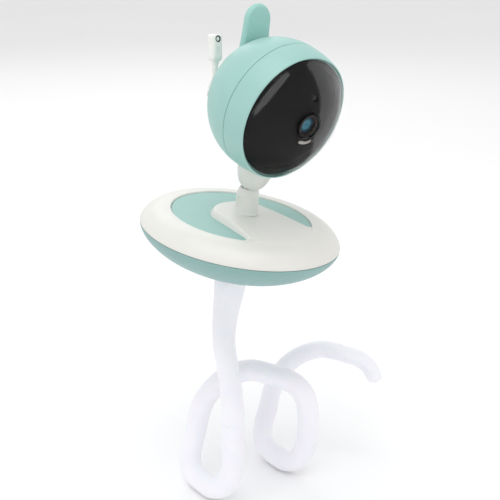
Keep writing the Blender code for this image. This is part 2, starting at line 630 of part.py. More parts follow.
def sweep(points, radii, segments, bores=None):
    """Tube along points with a radius at each; bores hollow it from end to end."""
    rings = []
    normal = Vector((1, 0, 0))
    for i, point in enumerate(points):
        before = points[max(i - 1, 0)]
        after = points[min(i + 1, len(points) - 1)]
        tangent = (after - before).normalized()
        normal = (normal - tangent * normal.dot(tangent)).normalized()
        across = tangent.cross(normal)
        for layer in ((radii, bores) if bores else (radii,)):
            ring = []
            for k in range(segments):
                angle = 2 * math.pi * k / segments
                ring.append(point + (normal * math.cos(angle) + across * math.sin(angle))
                            * layer[i])
            rings.append(ring)
    if not bores:
        return loft(rings)
    return loft(rings[0::2] + rings[1::2][::-1], closed=True)


def make_sensor(head):
    gland = [(2.3 * MM, -32.6 * MM), (3.2 * MM, -32.6 * MM), (3.2 * MM, -38.2 * MM),
             (4.4 * MM, -38.2 * MM), (4.1 * MM, -39.3 * MM), (2.3 * MM, -39.5 * MM)]
    add_turned("sensor_gland", "sensor_white", head, GLAND_SPOT, gland, 20, closed=True)
    pivot = add_empty("sensor_flex", head.parent,
                      head.location + GLAND_SPOT + Vector((0, TAIL_PIVOT_BACK, 0)))
    # rounded root at the pivot, then straight back and up into the probe
    stations = ((-1.85, 0.0, 0.5), (-1.4, 0.0, 1.2), (-0.7, 0.0, 1.65), (0.1, 0.6, 1.6),
                (0.35, 2.2, 1.4), (0.1, 4.5, 1.25), (-0.4, 7.5, 1.25), (-0.75, 10.2, 1.25),
                (-0.75, 11.2, 1.9), (-0.4, 12.6, 2.0), (0.3, 14.8, 2.1), (1.2, 16.6, 2.3))
    route = [Vector((0, y, z)) * MM for y, z, _ in stations]
    radii = [r * MM for _, _, r in stations]
    add_object("sensor_tail", sweep(route, radii, 12), "sensor_white", pivot)

    axis = (PROBE_HIGH - PROBE_LOW).normalized()
    thick_dir = axis.cross(Vector((1, 0, 0)))
    length = (PROBE_HIGH - PROBE_LOW).length
    rings = []
    for share, wide, thick in ((0.0, 2.6, 2.4), (0.06, 3.3, 2.9), (0.2, 3.75, 3.2),
                               (0.5, 3.8, 3.3), (0.8, 3.8, 3.3), (0.93, 3.4, 2.9),
                               (1.0, 2.4, 2.0)):
        centre = PROBE_LOW + axis * length * share
        ring = []
        for i in range(20):
            angle = 2 * math.pi * i / 20
            cosine, sine = math.cos(angle), math.sin(angle)
            reach = (abs(cosine) ** PROBE_SQUARENESS
                     + abs(sine) ** PROBE_SQUARENESS) ** (-1 / PROBE_SQUARENESS) * MM
            ring.append(centre + Vector((wide * reach * cosine, 0, 0))
                        + thick_dir * thick * reach * sine)
        rings.append(ring)
    probe = add_object("sensor_probe", loft(rings), "sensor_white", pivot)
    eye = PROBE_LOW + axis * (length * 0.78)
    turned_axis = thick_dir.to_track_quat("Z", "Y").to_matrix().to_4x4()
    hole = bmesh.new()
    bmesh.ops.create_cone(hole, cap_ends=True, segments=16, radius1=1.7 * MM, radius2=1.7 * MM,
                          depth=12 * MM, matrix=Matrix.Translation(eye) @ turned_axis)
    boolean(probe, hole, "DIFFERENCE", "probe_window")
    bead = bmesh.new()
    bmesh.ops.create_cone(bead, cap_ends=True, segments=14, radius1=1.3 * MM, radius2=1.3 * MM,
                          depth=6 * MM, matrix=Matrix.Translation(eye) @ turned_axis)
    add_object("thermistor", bead, "black_plastic", pivot)


# ---------------------------------------------------------------- bendable arm

def coil_point(angle_deg):
    """A rounded-rectangle winding around the rail.  0 is the front, 90 under the rail."""
    angle = math.radians(angle_deg)
    cosine, sine = math.cos(angle), math.sin(angle)
    power = 2 / COIL_SQUARENESS
    y = -COIL_HALF_DEPTH * math.copysign(abs(cosine) ** power, cosine)
    z = -COIL_HALF_HEIGHT * math.copysign(abs(sine) ** power, sine)
    x = COIL_START_X + COIL_PITCH * angle_deg / 360
    x += -COIL_SWAY[0] * (1 - cosine) - COIL_SWAY[1] * sine
    return Vector((x, y, z))


def coil_radius(angle_deg):
    """Full thickness for a turn and a quarter, then a taper to the free tip."""
    share = max(angle_deg - 430, 0) / (COIL_END_DEG - 430)
    return ARM_RADIUS + (ARM_TIP_RADIUS - ARM_RADIUS) * share ** 1.2


def arm_stations(base_matrix):
    """Centre line points with radii, from inside the base down to the free tip."""
    stations = []
    for depth, radius in ((13, 10.2), (18, 10.2), (24.3, 10.2), (28, 10.1)):
        stations.append((base_matrix @ Vector((0, 0, -depth * MM)), radius * MM))
    for x, y, z, radius in UPRIGHT_ROUTE:
        stations.append((Vector((x, y, z)) * MM, radius * MM))
    angle = -12
    while angle <= COIL_END_DEG:
        stations.append((coil_point(angle), coil_radius(angle)))
        angle += 18.1
    return stations


def smooth_line(stations, samples=12):
    """Catmull-Rom curve through the stations, with the distance travelled at each sample."""
    fine = []
    for i in range(len(stations) - 1):
        p0 = stations[max(i - 1, 0)]
        p1, p2 = stations[i], stations[i + 1]
        p3 = stations[min(i + 2, len(stations) - 1)]
        for k in range(samples):
            t = k / samples
            weights = ((-t + 2 * t ** 2 - t ** 3) / 2, (2 - 5 * t ** 2 + 3 * t ** 3) / 2,
                       (t + 4 * t ** 2 - 3 * t ** 3) / 2, (-t ** 2 + t ** 3) / 2)
            point = sum((w * p[0] for w, p in zip(weights, (p0, p1, p2, p3))), Vector())
            radius = sum(w * p[1] for w, p in zip(weights, (p0, p1, p2, p3)))
            fine.append((point, radius))
    fine.append(stations[-1])
    travel = [0.0]
    for a, b in zip(fine, fine[1:]):
        travel.append(travel[-1] + (b[0] - a[0]).length)
    return fine, travel


class ArmLine:
    """The arm's centre line, read by distance from its upper end."""

    def __init__(self, stations):
        self.fine, self.travel = smooth_line(stations)
        self.length = self.travel[-1]

    def at(self, distance):
        distance = min(max(distance, 0), self.length)
        low, high = 0, len(self.travel) - 1
        while high - low > 1:
            middle = (low + high) // 2
            if self.travel[middle] <= distance:
                low = middle
            else:
                high = middle
        span = self.travel[high] - self.travel[low]
        share = (distance - self.travel[low]) / span
        point = self.fine[low][0].lerp(self.fine[high][0], share)
        radius = self.fine[low][1] + (self.fine[high][1] - self.fine[low][1]) * share
        return point, radius

    def nearest(self, height):
        """Distance of the first point below a height on the way down."""
        for (point, _), distance in zip(self.fine, self.travel):
            if point.z < height:
                return distance
        return self.length


def even_stops(start, end, step):
    count = max(2, round((end - start) / step))
    return [start + (end - start) * i / count for i in range(count + 1)]


def add_sleeve(name, line, stops, bore, tip=False):
    """Soft sleeve between two stops of the arm, hollow for its core."""
    points = [line.at(s)[0] for s in stops]
    radii = [line.at(s)[1] for s in stops]
    if not tip:
        bores = [bore] * len(points)
        return add_object(name, sweep(points, radii, 12, bores), "arm_silicone")
    ahead = (points[-1] - points[-2]).normalized()
    last = radii[-1]
    end = points[-1]
    hollow_points = [points[0] * 2 - points[1]] + points[:-1]
    for angle in (35, 62, 84):
        turn_in = math.radians(angle)
        points.append(end + ahead * last * math.sin(turn_in))
        radii.append(last * math.cos(turn_in))
    sleeve = add_object(name, sweep(points, radii, 12), "arm_silicone")
    hollow = sweep(hollow_points, [bore] * len(hollow_points), 10)
    boolean(sleeve, hollow, "DIFFERENCE", name + "_bore")
    return sleeve


def add_core(name, line, start, end, sleeve_stops):
    """Bendable wire that keeps the stops of the sleeve around it."""
    inside = [s for s in sleeve_stops if start + MM / 2 < s < end - MM / 2]
    points = [line.at(s)[0] for s in [start] + inside + [end]]
    add_object(name, sweep(points, [CORE_RADIUS] * len(points), 7), "steel")


def make_arm(base_matrix):
    line = ArmLine(arm_stations(base_matrix))
    below_base = line.nearest((base_matrix @ Vector((0, 0, -24.2 * MM))).z)
    upper = line.nearest(UPPER_BEND_HEIGHT)
    lower = line.nearest(LOWER_BEND_HEIGHT)
    tail = line.length - TAIL_LENGTH
    half_gap, core_gap = 2.3 * MM, 0.6 * MM
    tail_half_gap, tail_core_gap = 3.4 * MM, 1.1 * MM

    head_stops = even_stops(below_base, upper - half_gap, 4 * MM)
    upright_stops = even_stops(upper + half_gap, lower - half_gap, 9 * MM)
    wrap_stops = even_stops(lower + half_gap, tail - tail_half_gap, 9.5 * MM)
    tail_stops = even_stops(tail + tail_half_gap, line.length, 6 * MM)
    add_sleeve("arm_head", line, head_stops, STUD_RADIUS + GAP)
    add_sleeve("arm_sleeve_upright", line, upright_stops, ARM_BORE)
    add_sleeve("arm_sleeve_wrap", line, wrap_stops, ARM_BORE)
    add_sleeve("arm_sleeve_tail", line, tail_stops, ARM_BORE, tip=True)

    stud_stops = [0.0, 5 * MM] + head_stops + [upper - core_gap]
    thread_end = below_base + 9 * MM
    stud_radii = [STUD_RADIUS if s < thread_end else CORE_RADIUS for s in stud_stops]
    stud_points = [line.at(s)[0] for s in stud_stops]
    add_object("arm_stud", sweep(stud_points, stud_radii, 14), "steel")
    add_core("arm_core_upright", line, upper + core_gap, lower - core_gap, upright_stops)
    add_core("arm_core_wrap", line, lower + core_gap, tail - tail_core_gap, wrap_stops)
    add_core("arm_core_tail", line, tail + tail_core_gap, tail_stops[-3], tail_stops)
    for label, distance in (("upper", upper), ("lower", lower), ("tail", tail)):
        point = line.at(distance)[0]
        ahead = (line.at(distance + MM)[0] - line.at(distance - MM)[0]).normalized()
        marker = add_empty("bend_" + label, None, point)
        marker["ahead"] = [round(v, 4) for v in ahead]


def main():
    clear_scene()
    base = add_empty("base_frame", None, BASE_CENTRE, BASE_LEAN)
    pan_axis = add_empty("pan_axis", base, PIVOT)
    head_pivot = add_empty("head_pivot", pan_axis, (0, 0, 0), (HEAD_TILT, 0, 0))
    head = add_empty("head_centre", head_pivot, HEAD_FROM_PIVOT)
    make_base(base)
    make_stem(base)
    make_ball_seat(pan_axis)
    make_neck(head_pivot)
    make_head_shells(head)
    make_cover(head)
    make_mask(head)
    make_optics(head)
    make_electronics(head)
    make_button(head)
    make_antenna(head)
    make_sensor(head)
    bpy.context.view_layer.update()
    make_arm(base.matrix_world.copy())


main()
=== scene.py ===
"""Looks for the baby monitor camera: fine meshes and materials that ride on the CAD bodies."""
import json
import math

import bmesh
import bpy
from mathutils import Matrix, Vector


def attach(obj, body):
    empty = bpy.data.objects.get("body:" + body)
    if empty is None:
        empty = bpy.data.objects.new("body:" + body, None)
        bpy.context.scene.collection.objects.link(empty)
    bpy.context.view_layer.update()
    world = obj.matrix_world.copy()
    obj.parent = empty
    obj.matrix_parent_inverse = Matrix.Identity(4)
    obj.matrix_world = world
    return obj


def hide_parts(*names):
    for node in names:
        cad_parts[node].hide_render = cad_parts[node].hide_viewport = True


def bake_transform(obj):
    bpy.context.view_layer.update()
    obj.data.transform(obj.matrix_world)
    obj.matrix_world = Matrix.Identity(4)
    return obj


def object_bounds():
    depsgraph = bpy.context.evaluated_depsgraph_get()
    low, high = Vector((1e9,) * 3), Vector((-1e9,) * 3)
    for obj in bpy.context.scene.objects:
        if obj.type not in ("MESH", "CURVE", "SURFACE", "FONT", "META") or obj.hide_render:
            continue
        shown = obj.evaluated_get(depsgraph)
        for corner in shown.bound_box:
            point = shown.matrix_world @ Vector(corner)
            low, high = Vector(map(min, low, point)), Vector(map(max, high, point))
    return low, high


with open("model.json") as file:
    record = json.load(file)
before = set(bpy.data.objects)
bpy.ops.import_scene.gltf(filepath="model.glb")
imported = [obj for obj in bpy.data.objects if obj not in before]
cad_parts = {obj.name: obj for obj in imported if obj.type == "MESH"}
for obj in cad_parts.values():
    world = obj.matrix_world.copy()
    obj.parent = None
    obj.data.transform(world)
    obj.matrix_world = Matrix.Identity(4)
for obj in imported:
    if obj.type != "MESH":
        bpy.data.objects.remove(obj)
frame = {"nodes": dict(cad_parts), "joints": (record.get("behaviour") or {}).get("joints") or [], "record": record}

CAD_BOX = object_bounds()
MM = 0.001
NODES = frame["nodes"]
JOINTS = {joint["name"]: joint for joint in frame["joints"]}
SLOT_OF = {part["node"]: part["material_slot"] for part in frame["record"]["subparts"]}


# -------------------- frames of the moving bodies

def joint_vector(name, key):
    return Vector(JOINTS[name][key])


def axes_frame(origin, x_axis, z_axis):
    """Right-handed frame from its X and Z axes."""
    x_axis, z_axis = x_axis.normalized(), z_axis.normalized()
    matrix = Matrix((x_axis, z_axis.cross(x_axis), z_axis)).transposed().to_4x4()
    matrix.translation = origin
    return matrix


PIVOT_IN_BASE = Vector((0, -3.8, 25.6)) * MM      # ball centre
HEAD_FROM_PIVOT = Vector((0, -1.8, 59.4)) * MM
HEAD_TILT = math.radians(12.1)
BALL = axes_frame(joint_vector("head_pan", "pos_m"), joint_vector("head_tilt", "axis"),
                  joint_vector("head_pan", "axis"))
BASE = BALL @ Matrix.Translation(-PIVOT_IN_BASE)
NECK = BALL @ Matrix.Rotation(HEAD_TILT, 4, "X")
HEAD = NECK @ Matrix.Translation(HEAD_FROM_PIVOT)
ANTENNA = axes_frame(joint_vector("antenna_fold", "pos_m"), joint_vector("head_tilt", "axis"),
                     joint_vector("head_pan", "axis"))
SENSOR = HEAD.copy()
SENSOR.translation = joint_vector("sensor_flex", "pos_m")

# Millimetres in the head's frame.  Spots are (across, up) from its centre.
HEAD_RADIUS, HEAD_WALL = 40.0, 2.6
SEAM = 2.0                      # where front and rear shells meet, forward of the centre
COVER_PLANE, COVER_EDGE = 17.1, 37.0
COVER_DOME, COVER_POLE = 45.67, 36.0
RIM_FLARE = 1.75                # front shell outside the sphere at the cover's rim
MASK_RADIUS, MASK_WALL, MASK_EDGE = 40.2, 1.2, 33.5
LENS_HEIGHT = 1.75
LIGHT_SENSOR_HEIGHT = 18.0
LENS_GLARE_SPOT, LENS_GLARE_RADIUS = (-7.0, 5.1), 8.0
SENSOR_GLARE_SPOT, SENSOR_GLARE_RADIUS = (-3.5, 20.0), 1.7
BUTTON_SPOT = (14.0, 3.5)
GLAND_SPOT = (-15.5, -8.0)
SPEAKER_SPOT, VENT_PITCH = (6.0, -9.0), 2.8
FINE = 168                      # facets round the head


# -------------------- mesh helpers

def mesh_of(name, bm):
    """Mesh of a bmesh, faces turned outwards; the bmesh is used up."""
    bmesh.ops.recalc_face_normals(bm, faces=bm.faces)
    mesh = bpy.data.meshes.new(name)
    bm.to_mesh(mesh)
    bm.free()
    return mesh


def placed(name, data):
    """A new object of the scene."""
    item = bpy.data.objects.new(name, data)
    bpy.context.scene.collection.objects.link(item)
    return item


def add_piece(name, bm, matrix, body, material, nodes=(), sharp=40, keep_frame=False):
    """A bmesh becomes a shaded piece that rides on a body and stands for CAD nodes.

    The matrix is baked into the mesh unless the material needs the piece's own frame.
    """
    mesh = mesh_of(name, bm)
    mesh.shade_smooth()
    mesh.set_sharp_from_angle(angle=math.radians(sharp))
    mesh.materials.append(material)
    piece = placed(name, mesh)
    if keep_frame:
        piece.matrix_world = matrix
    else:
        mesh.transform(matrix)
    bpy.context.view_layer.update()
    if body:
        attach(piece, body)
    if nodes:
        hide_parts(*nodes)
    return piece


def loft(rings, closed=False):
    """Skin rings of equal point count.  A closed loft joins its last ring to its first."""
    bm = bmesh.new()
    loops = [[bm.verts.new(point) for point in ring] for ring in rings]
    pairs = list(zip(loops, loops[1:]))
    if closed:
        pairs.append((loops[-1], loops[0]))
    for lower, upper in pairs:
        count = len(lower)
        for i in range(count):
            j = (i + 1) % count
            bm.faces.new((lower[i], lower[j], upper[j], upper[i]))
    if not closed:
        bm.faces.new(loops[0][::-1])
        bm.faces.new(loops[-1])
    return bm


def circle(count):
    for i in range(count):
        angle = 2 * math.pi * i / count
        yield math.cos(angle), math.sin(angle)


def turned(profile, segments=96, axis="Z", centre=(0, 0, 0), closed=False):
    """Turn (radius, height) points, in millimetres, about Z or about the head's forward -Y."""
    centre = Vector(centre)
    rings = []
    for radius, height in profile:
        ring = []
        for c, s in circle(segments):
            point = (radius * c, radius * s, height)
            if axis == "Y":
                point = (radius * c, -height, radius * s)
            ring.append((centre + Vector(point)) * MM)
        rings.append(ring)
    return loft(rings, closed)


def moved(bm, matrix):
    bmesh.ops.transform(bm, matrix=matrix, verts=bm.verts)
    return bm


def arc(radius, start_deg, end_deg, steps, height=0.0):
    """Points of a sphere's profile, angles counted from its pole."""
    points = []
    for i in range(steps + 1):
        angle = math.radians(start_deg + (end_deg - start_deg) * i / steps)
        points.append((radius * math.sin(angle), height + radius * math.cos(angle)))
    return points


def angle_at(radius, height):
    return math.degrees(math.acos(height / radius))


def softened(points, steps=4):
    """Round a closed or open profile.  Each point is (x, y, corner radius) in millimetres."""
    result = []
    count = len(points)
    for i, (x, y, radius) in enumerate(points):
        corner = Vector((x, y))
        if radius <= 0:
            result.append((x, y))
            continue
        before = Vector(points[i - 1][:2]) - corner
        after = Vector(points[(i + 1) % count][:2]) - corner
        half = before.angle(after) / 2
        reach = min(radius / math.tan(half), before.length * 0.49, after.length * 0.49)
        start = corner + before.normalized() * reach
        end = corner + after.normalized() * reach
        for k in range(steps + 1):
            t = k / steps
            point = start * (1 - t) ** 2 + corner * (2 * t * (1 - t)) + end * t ** 2
            result.append((point.x, point.y))
    return result


def smoothstep(low, high, value):
    t = min(max((value - low) / (high - low), 0), 1)
    return t * t * (3 - 2 * t)


def cut(piece, cutters, matrix):
    """Cut the bmesh cutters out of a piece and bake the result."""
    for index, bm in enumerate(cutters):
        name = f"{piece.name}_cutter_{index}"
        tool = placed(name, mesh_of(name, bm))
        tool.matrix_world = matrix
        bpy.context.view_layer.update()
        modifier = piece.modifiers.new("cut", "BOOLEAN")
        modifier.object = tool
        modifier.operation = "DIFFERENCE"
        modifier.solver = "EXACT"
        with bpy.context.temp_override(object=piece, active_object=piece):
            bpy.ops.object.modifier_apply(modifier=modifier.name)
        bpy.data.objects.remove(tool, do_unlink=True)
    piece.data.shade_smooth()
    piece.data.set_sharp_from_angle(angle=math.radians(40))


def rounded_box(low, high, radius, steps=5):
    """Bar along Y with rounded long edges, limits in millimetres."""
    corners = ((high[0] - radius, high[2] - radius, 0),
               (low[0] + radius, high[2] - radius, 90),
               (low[0] + radius, low[2] + radius, 180),
               (high[0] - radius, low[2] + radius, 270))
    outline = []
    for cx, cz, start in corners:
        for k in range(steps + 1):
            angle = math.radians(start + 90 * k / steps)
            outline.append((cx + radius * math.cos(angle), cz + radius * math.sin(angle)))
    return loft([[(x * MM, y * MM, z * MM) for x, z in outline] for y in (low[1], high[1])])


# -------------------- materials

def srgb(red, green, blue):
    """Display values up to 255, none of them near black, as linear colour."""
    return (*[((value / 255 + 0.055) / 1.055) ** 2.4 for value in (red, green, blue)], 1)


def shaded(colour, factor):
    return tuple(min(c * factor, 1) for c in colour[:3]) + (1,)


def set_sockets(node, values):
    """Socket values by name, with _ for each space."""
    for key, value in values.items():
        node.inputs[key.replace("_", " ")].default_value = value


class Look:
    """A Principled material with helpers for its procedural detail."""

    def __init__(self, name, roughness=0.5, metallic=0.0):
        self.material = bpy.data.materials.new(name)
        self.material.use_nodes = True
        tree = self.material.node_tree
        self.link, self.new_node = tree.links.new, tree.nodes.new
        self.shader = tree.nodes["Principled BSDF"]
        self.set(Roughness=roughness, Metallic=metallic)
        self.coords = self.node("TexCoord").outputs["Object"]

    def set(self, **values):
        set_sockets(self.shader, values)
        return self

    def node(self, kind, **values):
        node = self.new_node("ShaderNode" + kind)
        set_sockets(node, values)
        return node

    def noise(self, size, detail=2.0, stretch=(1, 1, 1)):
        """Noise whose features are about size metres wide."""
        mapping = self.node("Mapping", Scale=[1 / (size * s) for s in stretch])
        self.link(self.coords, mapping.inputs["Vector"])
        texture = self.node("TexNoise", Scale=1.0, Detail=detail)
        self.link(mapping.outputs["Vector"], texture.inputs["Vector"])
        return texture.outputs["Fac"]

    def ramp(self, source, stops):
        node = self.node("ValToRGB")
        elements = node.color_ramp.elements
        while len(elements) < len(stops):
            elements.new(0.5)
        for element, (place, colour) in zip(elements, stops):
            element.position, element.color = place, colour
        self.link(source, node.inputs["Fac"])
        return node.outputs["Color"]

    def mottled(self, cloud, dark, light):
        """Base colour between two colours along a noise."""
        self.feed(self.ramp(cloud, [(0.3, dark), (0.7, light)]), "Base Color")

    def scaled(self, source, low, high, from_low=0.3, from_high=0.7):
        node = self.node("MapRange", From_Min=from_low, From_Max=from_high, To_Min=low,
                         To_Max=high)
        self.link(source, node.inputs["Value"])
        return node.outputs["Result"]

    def feed(self, source, socket):
        self.link(source, self.shader.inputs[socket])

    def bump(self, source, depth, strength=1.0):
        """Relief on top of any relief that is there already."""
        node = self.node("Bump", Strength=strength, Distance=depth)
        self.link(source, node.inputs["Height"])
        normal = self.shader.inputs["Normal"]
        if normal.links:
            self.link(normal.links[0].from_socket, node.inputs["Normal"])
        self.link(node.outputs["Normal"], normal)


def moulded(name, colour, roughness, grain=0.28 * MM, depth=0.012 * MM, mottle=0.025, **extra):
    """Injection-moulded plastic: spark-eroded grain, faint flow mottling, uneven sheen."""
    look = Look(name, roughness)
    look.mottled(look.noise(14 * MM, 3.0), shaded(colour, 1 - mottle), shaded(colour, 1 + mottle))
    sheen = look.noise(3.5 * MM, 4.0)
    look.feed(look.scaled(sheen, roughness - 0.035, roughness + 0.045), "Roughness")
    look.bump(look.noise(grain, 2.0), depth, 0.5)
    return look.set(**extra).material


def metal(name, colour, roughness):
    """Machined metal: fine streaks along the turning direction and faint tarnish."""
    look = Look(name, roughness, 1.0)
    look.mottled(look.noise(4 * MM, 3.0), shaded(colour, 0.82), colour)
    lines = look.noise(0.35 * MM, 3.0, stretch=(1, 1, 14))
    look.feed(look.scaled(lines, roughness * 0.75, roughness * 1.35), "Roughness")
    look.bump(lines, 0.01 * MM, 0.4)
    return look.material


def circuit_board_look():
    """Green solder mask over copper tracks and tinned pads."""
    look = Look("circuit_board_mask", 0.35)
    tracks = look.node("TexBrick", Scale=220, Color1=(0.012, 0.09, 0.045, 1),
                       Color2=(0.016, 0.12, 0.06, 1), Mortar=(0.05, 0.2, 0.09, 1))
    look.link(look.coords, tracks.inputs["Vector"])
    look.feed(tracks.outputs["Color"], "Base Color")
    look.bump(tracks.outputs["Fac"], 0.03 * MM, 0.6)
    return look.set(Coat_Weight=0.4).material


def silicone_look():
    """Soft white silicone: satin skin with a fine leathery grain and a faint cool tint."""
    look = Look("arm_silicone_skin", 0.42)
    look.mottled(look.noise(22 * MM, 3.0), srgb(243, 242, 249), srgb(247, 246, 252))
    look.feed(look.scaled(look.noise(5 * MM, 4.0), 0.36, 0.5), "Roughness")
    look.bump(look.noise(1.6 * MM, 3.0), 0.02 * MM, 0.35)
    look.bump(look.noise(0.22 * MM, 2.0), 0.01 * MM, 0.5)
    return look.set(Sheen_Weight=0.12, Subsurface_Weight=0.12, Subsurface_Scale=2 * MM).material


def smoked_look():
    """Dark see-through acrylic, hardly reflecting over the lens and the light sensor."""
    look = Look("smoked_acrylic", 0.035)

    def beyond(place, radius):
        """0 near the line through a spot along the head's axis, 1 away from it."""
        start = HEAD @ (Vector((place[0], 0, place[1])) * MM)
        edge = 0.15
        value = look.coords
        for operation, other in (("SUBTRACT", start), ("CROSS_PRODUCT", HEAD.col[1].to_3d()),
                                 ("LENGTH", None)):
            node = look.node("VectorMath")
            node.operation = operation
            look.link(value, node.inputs[0])
            if other is not None:
                node.inputs[1].default_value = other
            value = node.outputs["Value" if operation == "LENGTH" else "Vector"]
        return look.scaled(value, 0, 1, (radius - edge) * MM, (radius + edge) * MM)

    glossy = look.node("Math")
    glossy.operation = "MULTIPLY"
    look.link(beyond(LENS_GLARE_SPOT, LENS_GLARE_RADIUS), glossy.inputs[0])
    look.link(beyond(SENSOR_GLARE_SPOT, SENSOR_GLARE_RADIUS), glossy.inputs[1])
    for socket, level in (("Alpha", 0.17), ("Specular IOR Level", 0.7)):
        look.feed(look.scaled(glossy.outputs["Value"], 0.1, level, 0.0, 1.0), socket)
    look.mottled(look.noise(18 * MM, 2.0), (0.0035, 0.0035, 0.004, 1), (0.006, 0.006, 0.0065, 1))
    look.feed(look.scaled(look.noise(6 * MM, 4.0), 0.02, 0.045), "Roughness")
    return look.set(IOR=1.5).material


def mask_look():
    """Matt light-trap ink on the window mask."""
    look = Look("light_trap_ink", 0.8)
    look.mottled(look.noise(3 * MM, 3.0), (0.0025, 0.0025, 0.003, 1), (0.004, 0.004, 0.0045, 1))
    look.bump(look.noise(0.4 * MM, 2.0), 0.01 * MM, 0.4)
    return look.set(Specular_IOR_Level=0.05).material


def lens_front_look():
    """Coated front element: clear with a blue-green reflection colour."""
    look = Look("lens_front_coating", 0.02)
    look.mottled(look.noise(3 * MM, 2.0), (0.004, 0.012, 0.03, 1), (0.008, 0.02, 0.045, 1))
    look.feed(look.scaled(look.noise(2 * MM, 3.0), 0.01, 0.035), "Roughness")
    return look.set(Alpha=0.2, IOR=2.2, Specular_Tint=(0.45, 0.85, 1.0, 1)).material


def lens_painted_reflection_look():
    """Deep element behind: base colour painted with the coating's reflection of a softbox, a blue pool inside navy
    and violet rings.
    """
    look = Look("lens_core_painted_reflection", 0.06)
    reach = 5.6 * MM
    distance = look.node("VectorMath")
    distance.operation = "LENGTH"
    flat = look.node("Mapping", Scale=(1 / reach, 0, 1 / reach))
    look.link(look.coords, flat.inputs["Vector"])
    look.link(flat.outputs["Vector"], distance.inputs[0])
    # painted reflection: the coating's cyan reflection of a softbox laid into the base colour as rings
    look.feed(look.ramp(distance.outputs["Value"], [
        (0.0, (0.02, 0.12, 0.20, 1)), (0.13, (0.10, 0.50, 0.70, 1)),
        (0.42, (0.16, 0.66, 0.88, 1)), (0.58, (0.05, 0.26, 0.42, 1)),
        (0.76, (0.02, 0.07, 0.14, 1)), (0.90, (0.14, 0.10, 0.14, 1)),
        (1.0, (0.25, 0.22, 0.27, 1))]), "Base Color")
    return look.set(IOR=2.0, Specular_Tint=(0.4, 0.85, 1.0, 1), Coat_Weight=0.5).material


MINT = srgb(155, 198, 191)
MINT_ANTENNA = srgb(154, 202, 194)
# bowl mint is the shell mint darkened: painted shade under the base's rim
MINT_BOWL_PAINTED_SHADE = srgb(138, 175, 172)
MINT_INLAY = srgb(145, 188, 181)
WHITE = srgb(225, 224, 219)
NECK_WHITE = srgb(226, 228, 223)

LOOKS = {
    "mint_shell": moulded("mint_shell_plastic", MINT, 0.42),
    "mint_antenna": moulded("mint_antenna_plastic", MINT_ANTENNA, 0.45),
    # bowl finish uses the darker mint, painted shade under the rim
    "mint_bowl": moulded("mint_bowl_painted_shade_plastic", MINT_BOWL_PAINTED_SHADE, 0.45),
    "mint_inlay": moulded("mint_inlay_plastic", MINT_INLAY, 0.4),
    "white_shell": moulded("white_shell_plastic", WHITE, 0.38, mottle=0.012),
    "neck_white": moulded("neck_white_plastic", NECK_WHITE, 0.33, mottle=0.015,
                          Subsurface_Weight=0.15, Subsurface_Scale=1.5 * MM),
    "smoked_cover": smoked_look(),
    "lens_glass": lens_front_look(),
    "black_plastic": moulded("satin_black_plastic", (0.012, 0.012, 0.013, 1), 0.4, mottle=0.1),
    "circuit_board": circuit_board_look(),
    "led_clear": moulded("clear_led_resin", srgb(225, 220, 212), 0.2, depth=0.004 * MM,
                         Coat_Weight=0.5),
    "steel": metal("turned_steel", (0.62, 0.62, 0.63, 1), 0.3),
    "brass": metal("turned_brass", (0.78, 0.58, 0.26, 1), 0.28),
    "acetal": moulded("natural_acetal", srgb(232, 230, 222), 0.35, mottle=0.02),
    "rubber": moulded("black_rubber", (0.018, 0.018, 0.018, 1), 0.75, grain=0.5 * MM,
                      depth=0.03 * MM, mottle=0.15),
    "arm_silicone": silicone_look(),
    "sensor_white": moulded("sensor_white_overmould", srgb(236, 237, 233), 0.36, mottle=0.02),
}
# lens core colours are a painted reflection of the softbox
LENS_PAINTED_REFLECTION = lens_painted_reflection_look()


def dress_cad_nodes():
    """Every CAD node gets the finish of its record slot."""
    for name, node in NODES.items():
        node.data.materials.clear()
        node.data.materials.append(LOOKS[SLOT_OF[name]])


def piece_of(name, slot, bm, matrix, body, nodes=(), sharp=40):
    """A piece in the finish of its record slot."""
    return add_piece(name, bm, matrix, body, LOOKS[slot], nodes, sharp)


# -------------------- head

def front_radius(height):
    """Front shell's radius: the head's sphere, flared towards the cover's rim."""
    share = max(height - SEAM, 0) / (COVER_PLANE - SEAM)
    return math.sqrt(HEAD_RADIUS ** 2 - height ** 2) + RIM_FLARE * share ** 1.5


def make_front_shell():
    """Front ring, with a rounded edge at the seam and a seat for the cover."""
    inner = HEAD_RADIUS - HEAD_WALL
    low = SEAM + 0.13
    profile = [(front_radius(low) - 0.45, low),
               (front_radius(low) - 0.16, low + 0.05)]
    start, end, steps = low + 0.28, COVER_PLANE - 0.35, 30
    for i in range(steps + 1):
        height = start + (end - start) * i / steps
        profile.append((front_radius(height), height))
    lip, rim, seat, seat_edge = COVER_EDGE + 0.2, front_radius(COVER_PLANE), COVER_PLANE - 2.1, 34.6
    profile += [(rim - 0.14, COVER_PLANE - 0.08), (lip + 0.12, COVER_PLANE - 0.02),
                (lip, COVER_PLANE - 0.12), (lip, seat), (seat_edge, seat),
                (seat_edge, COVER_PLANE - 4)]
    profile += arc(inner, angle_at(inner, COVER_PLANE - 4.1), angle_at(inner, low + 0.2), 10)
    profile.append((inner + 0.2, low))
    piece_of("head_front_shell", "mint_shell", turned(profile, FINE, "Y", closed=True),
             HEAD, "head", ("front_shell",))


def across_head(spot):
    """A spot of the head as a point of its frame, in millimetres."""
    return Vector((spot[0], 0, spot[1]))


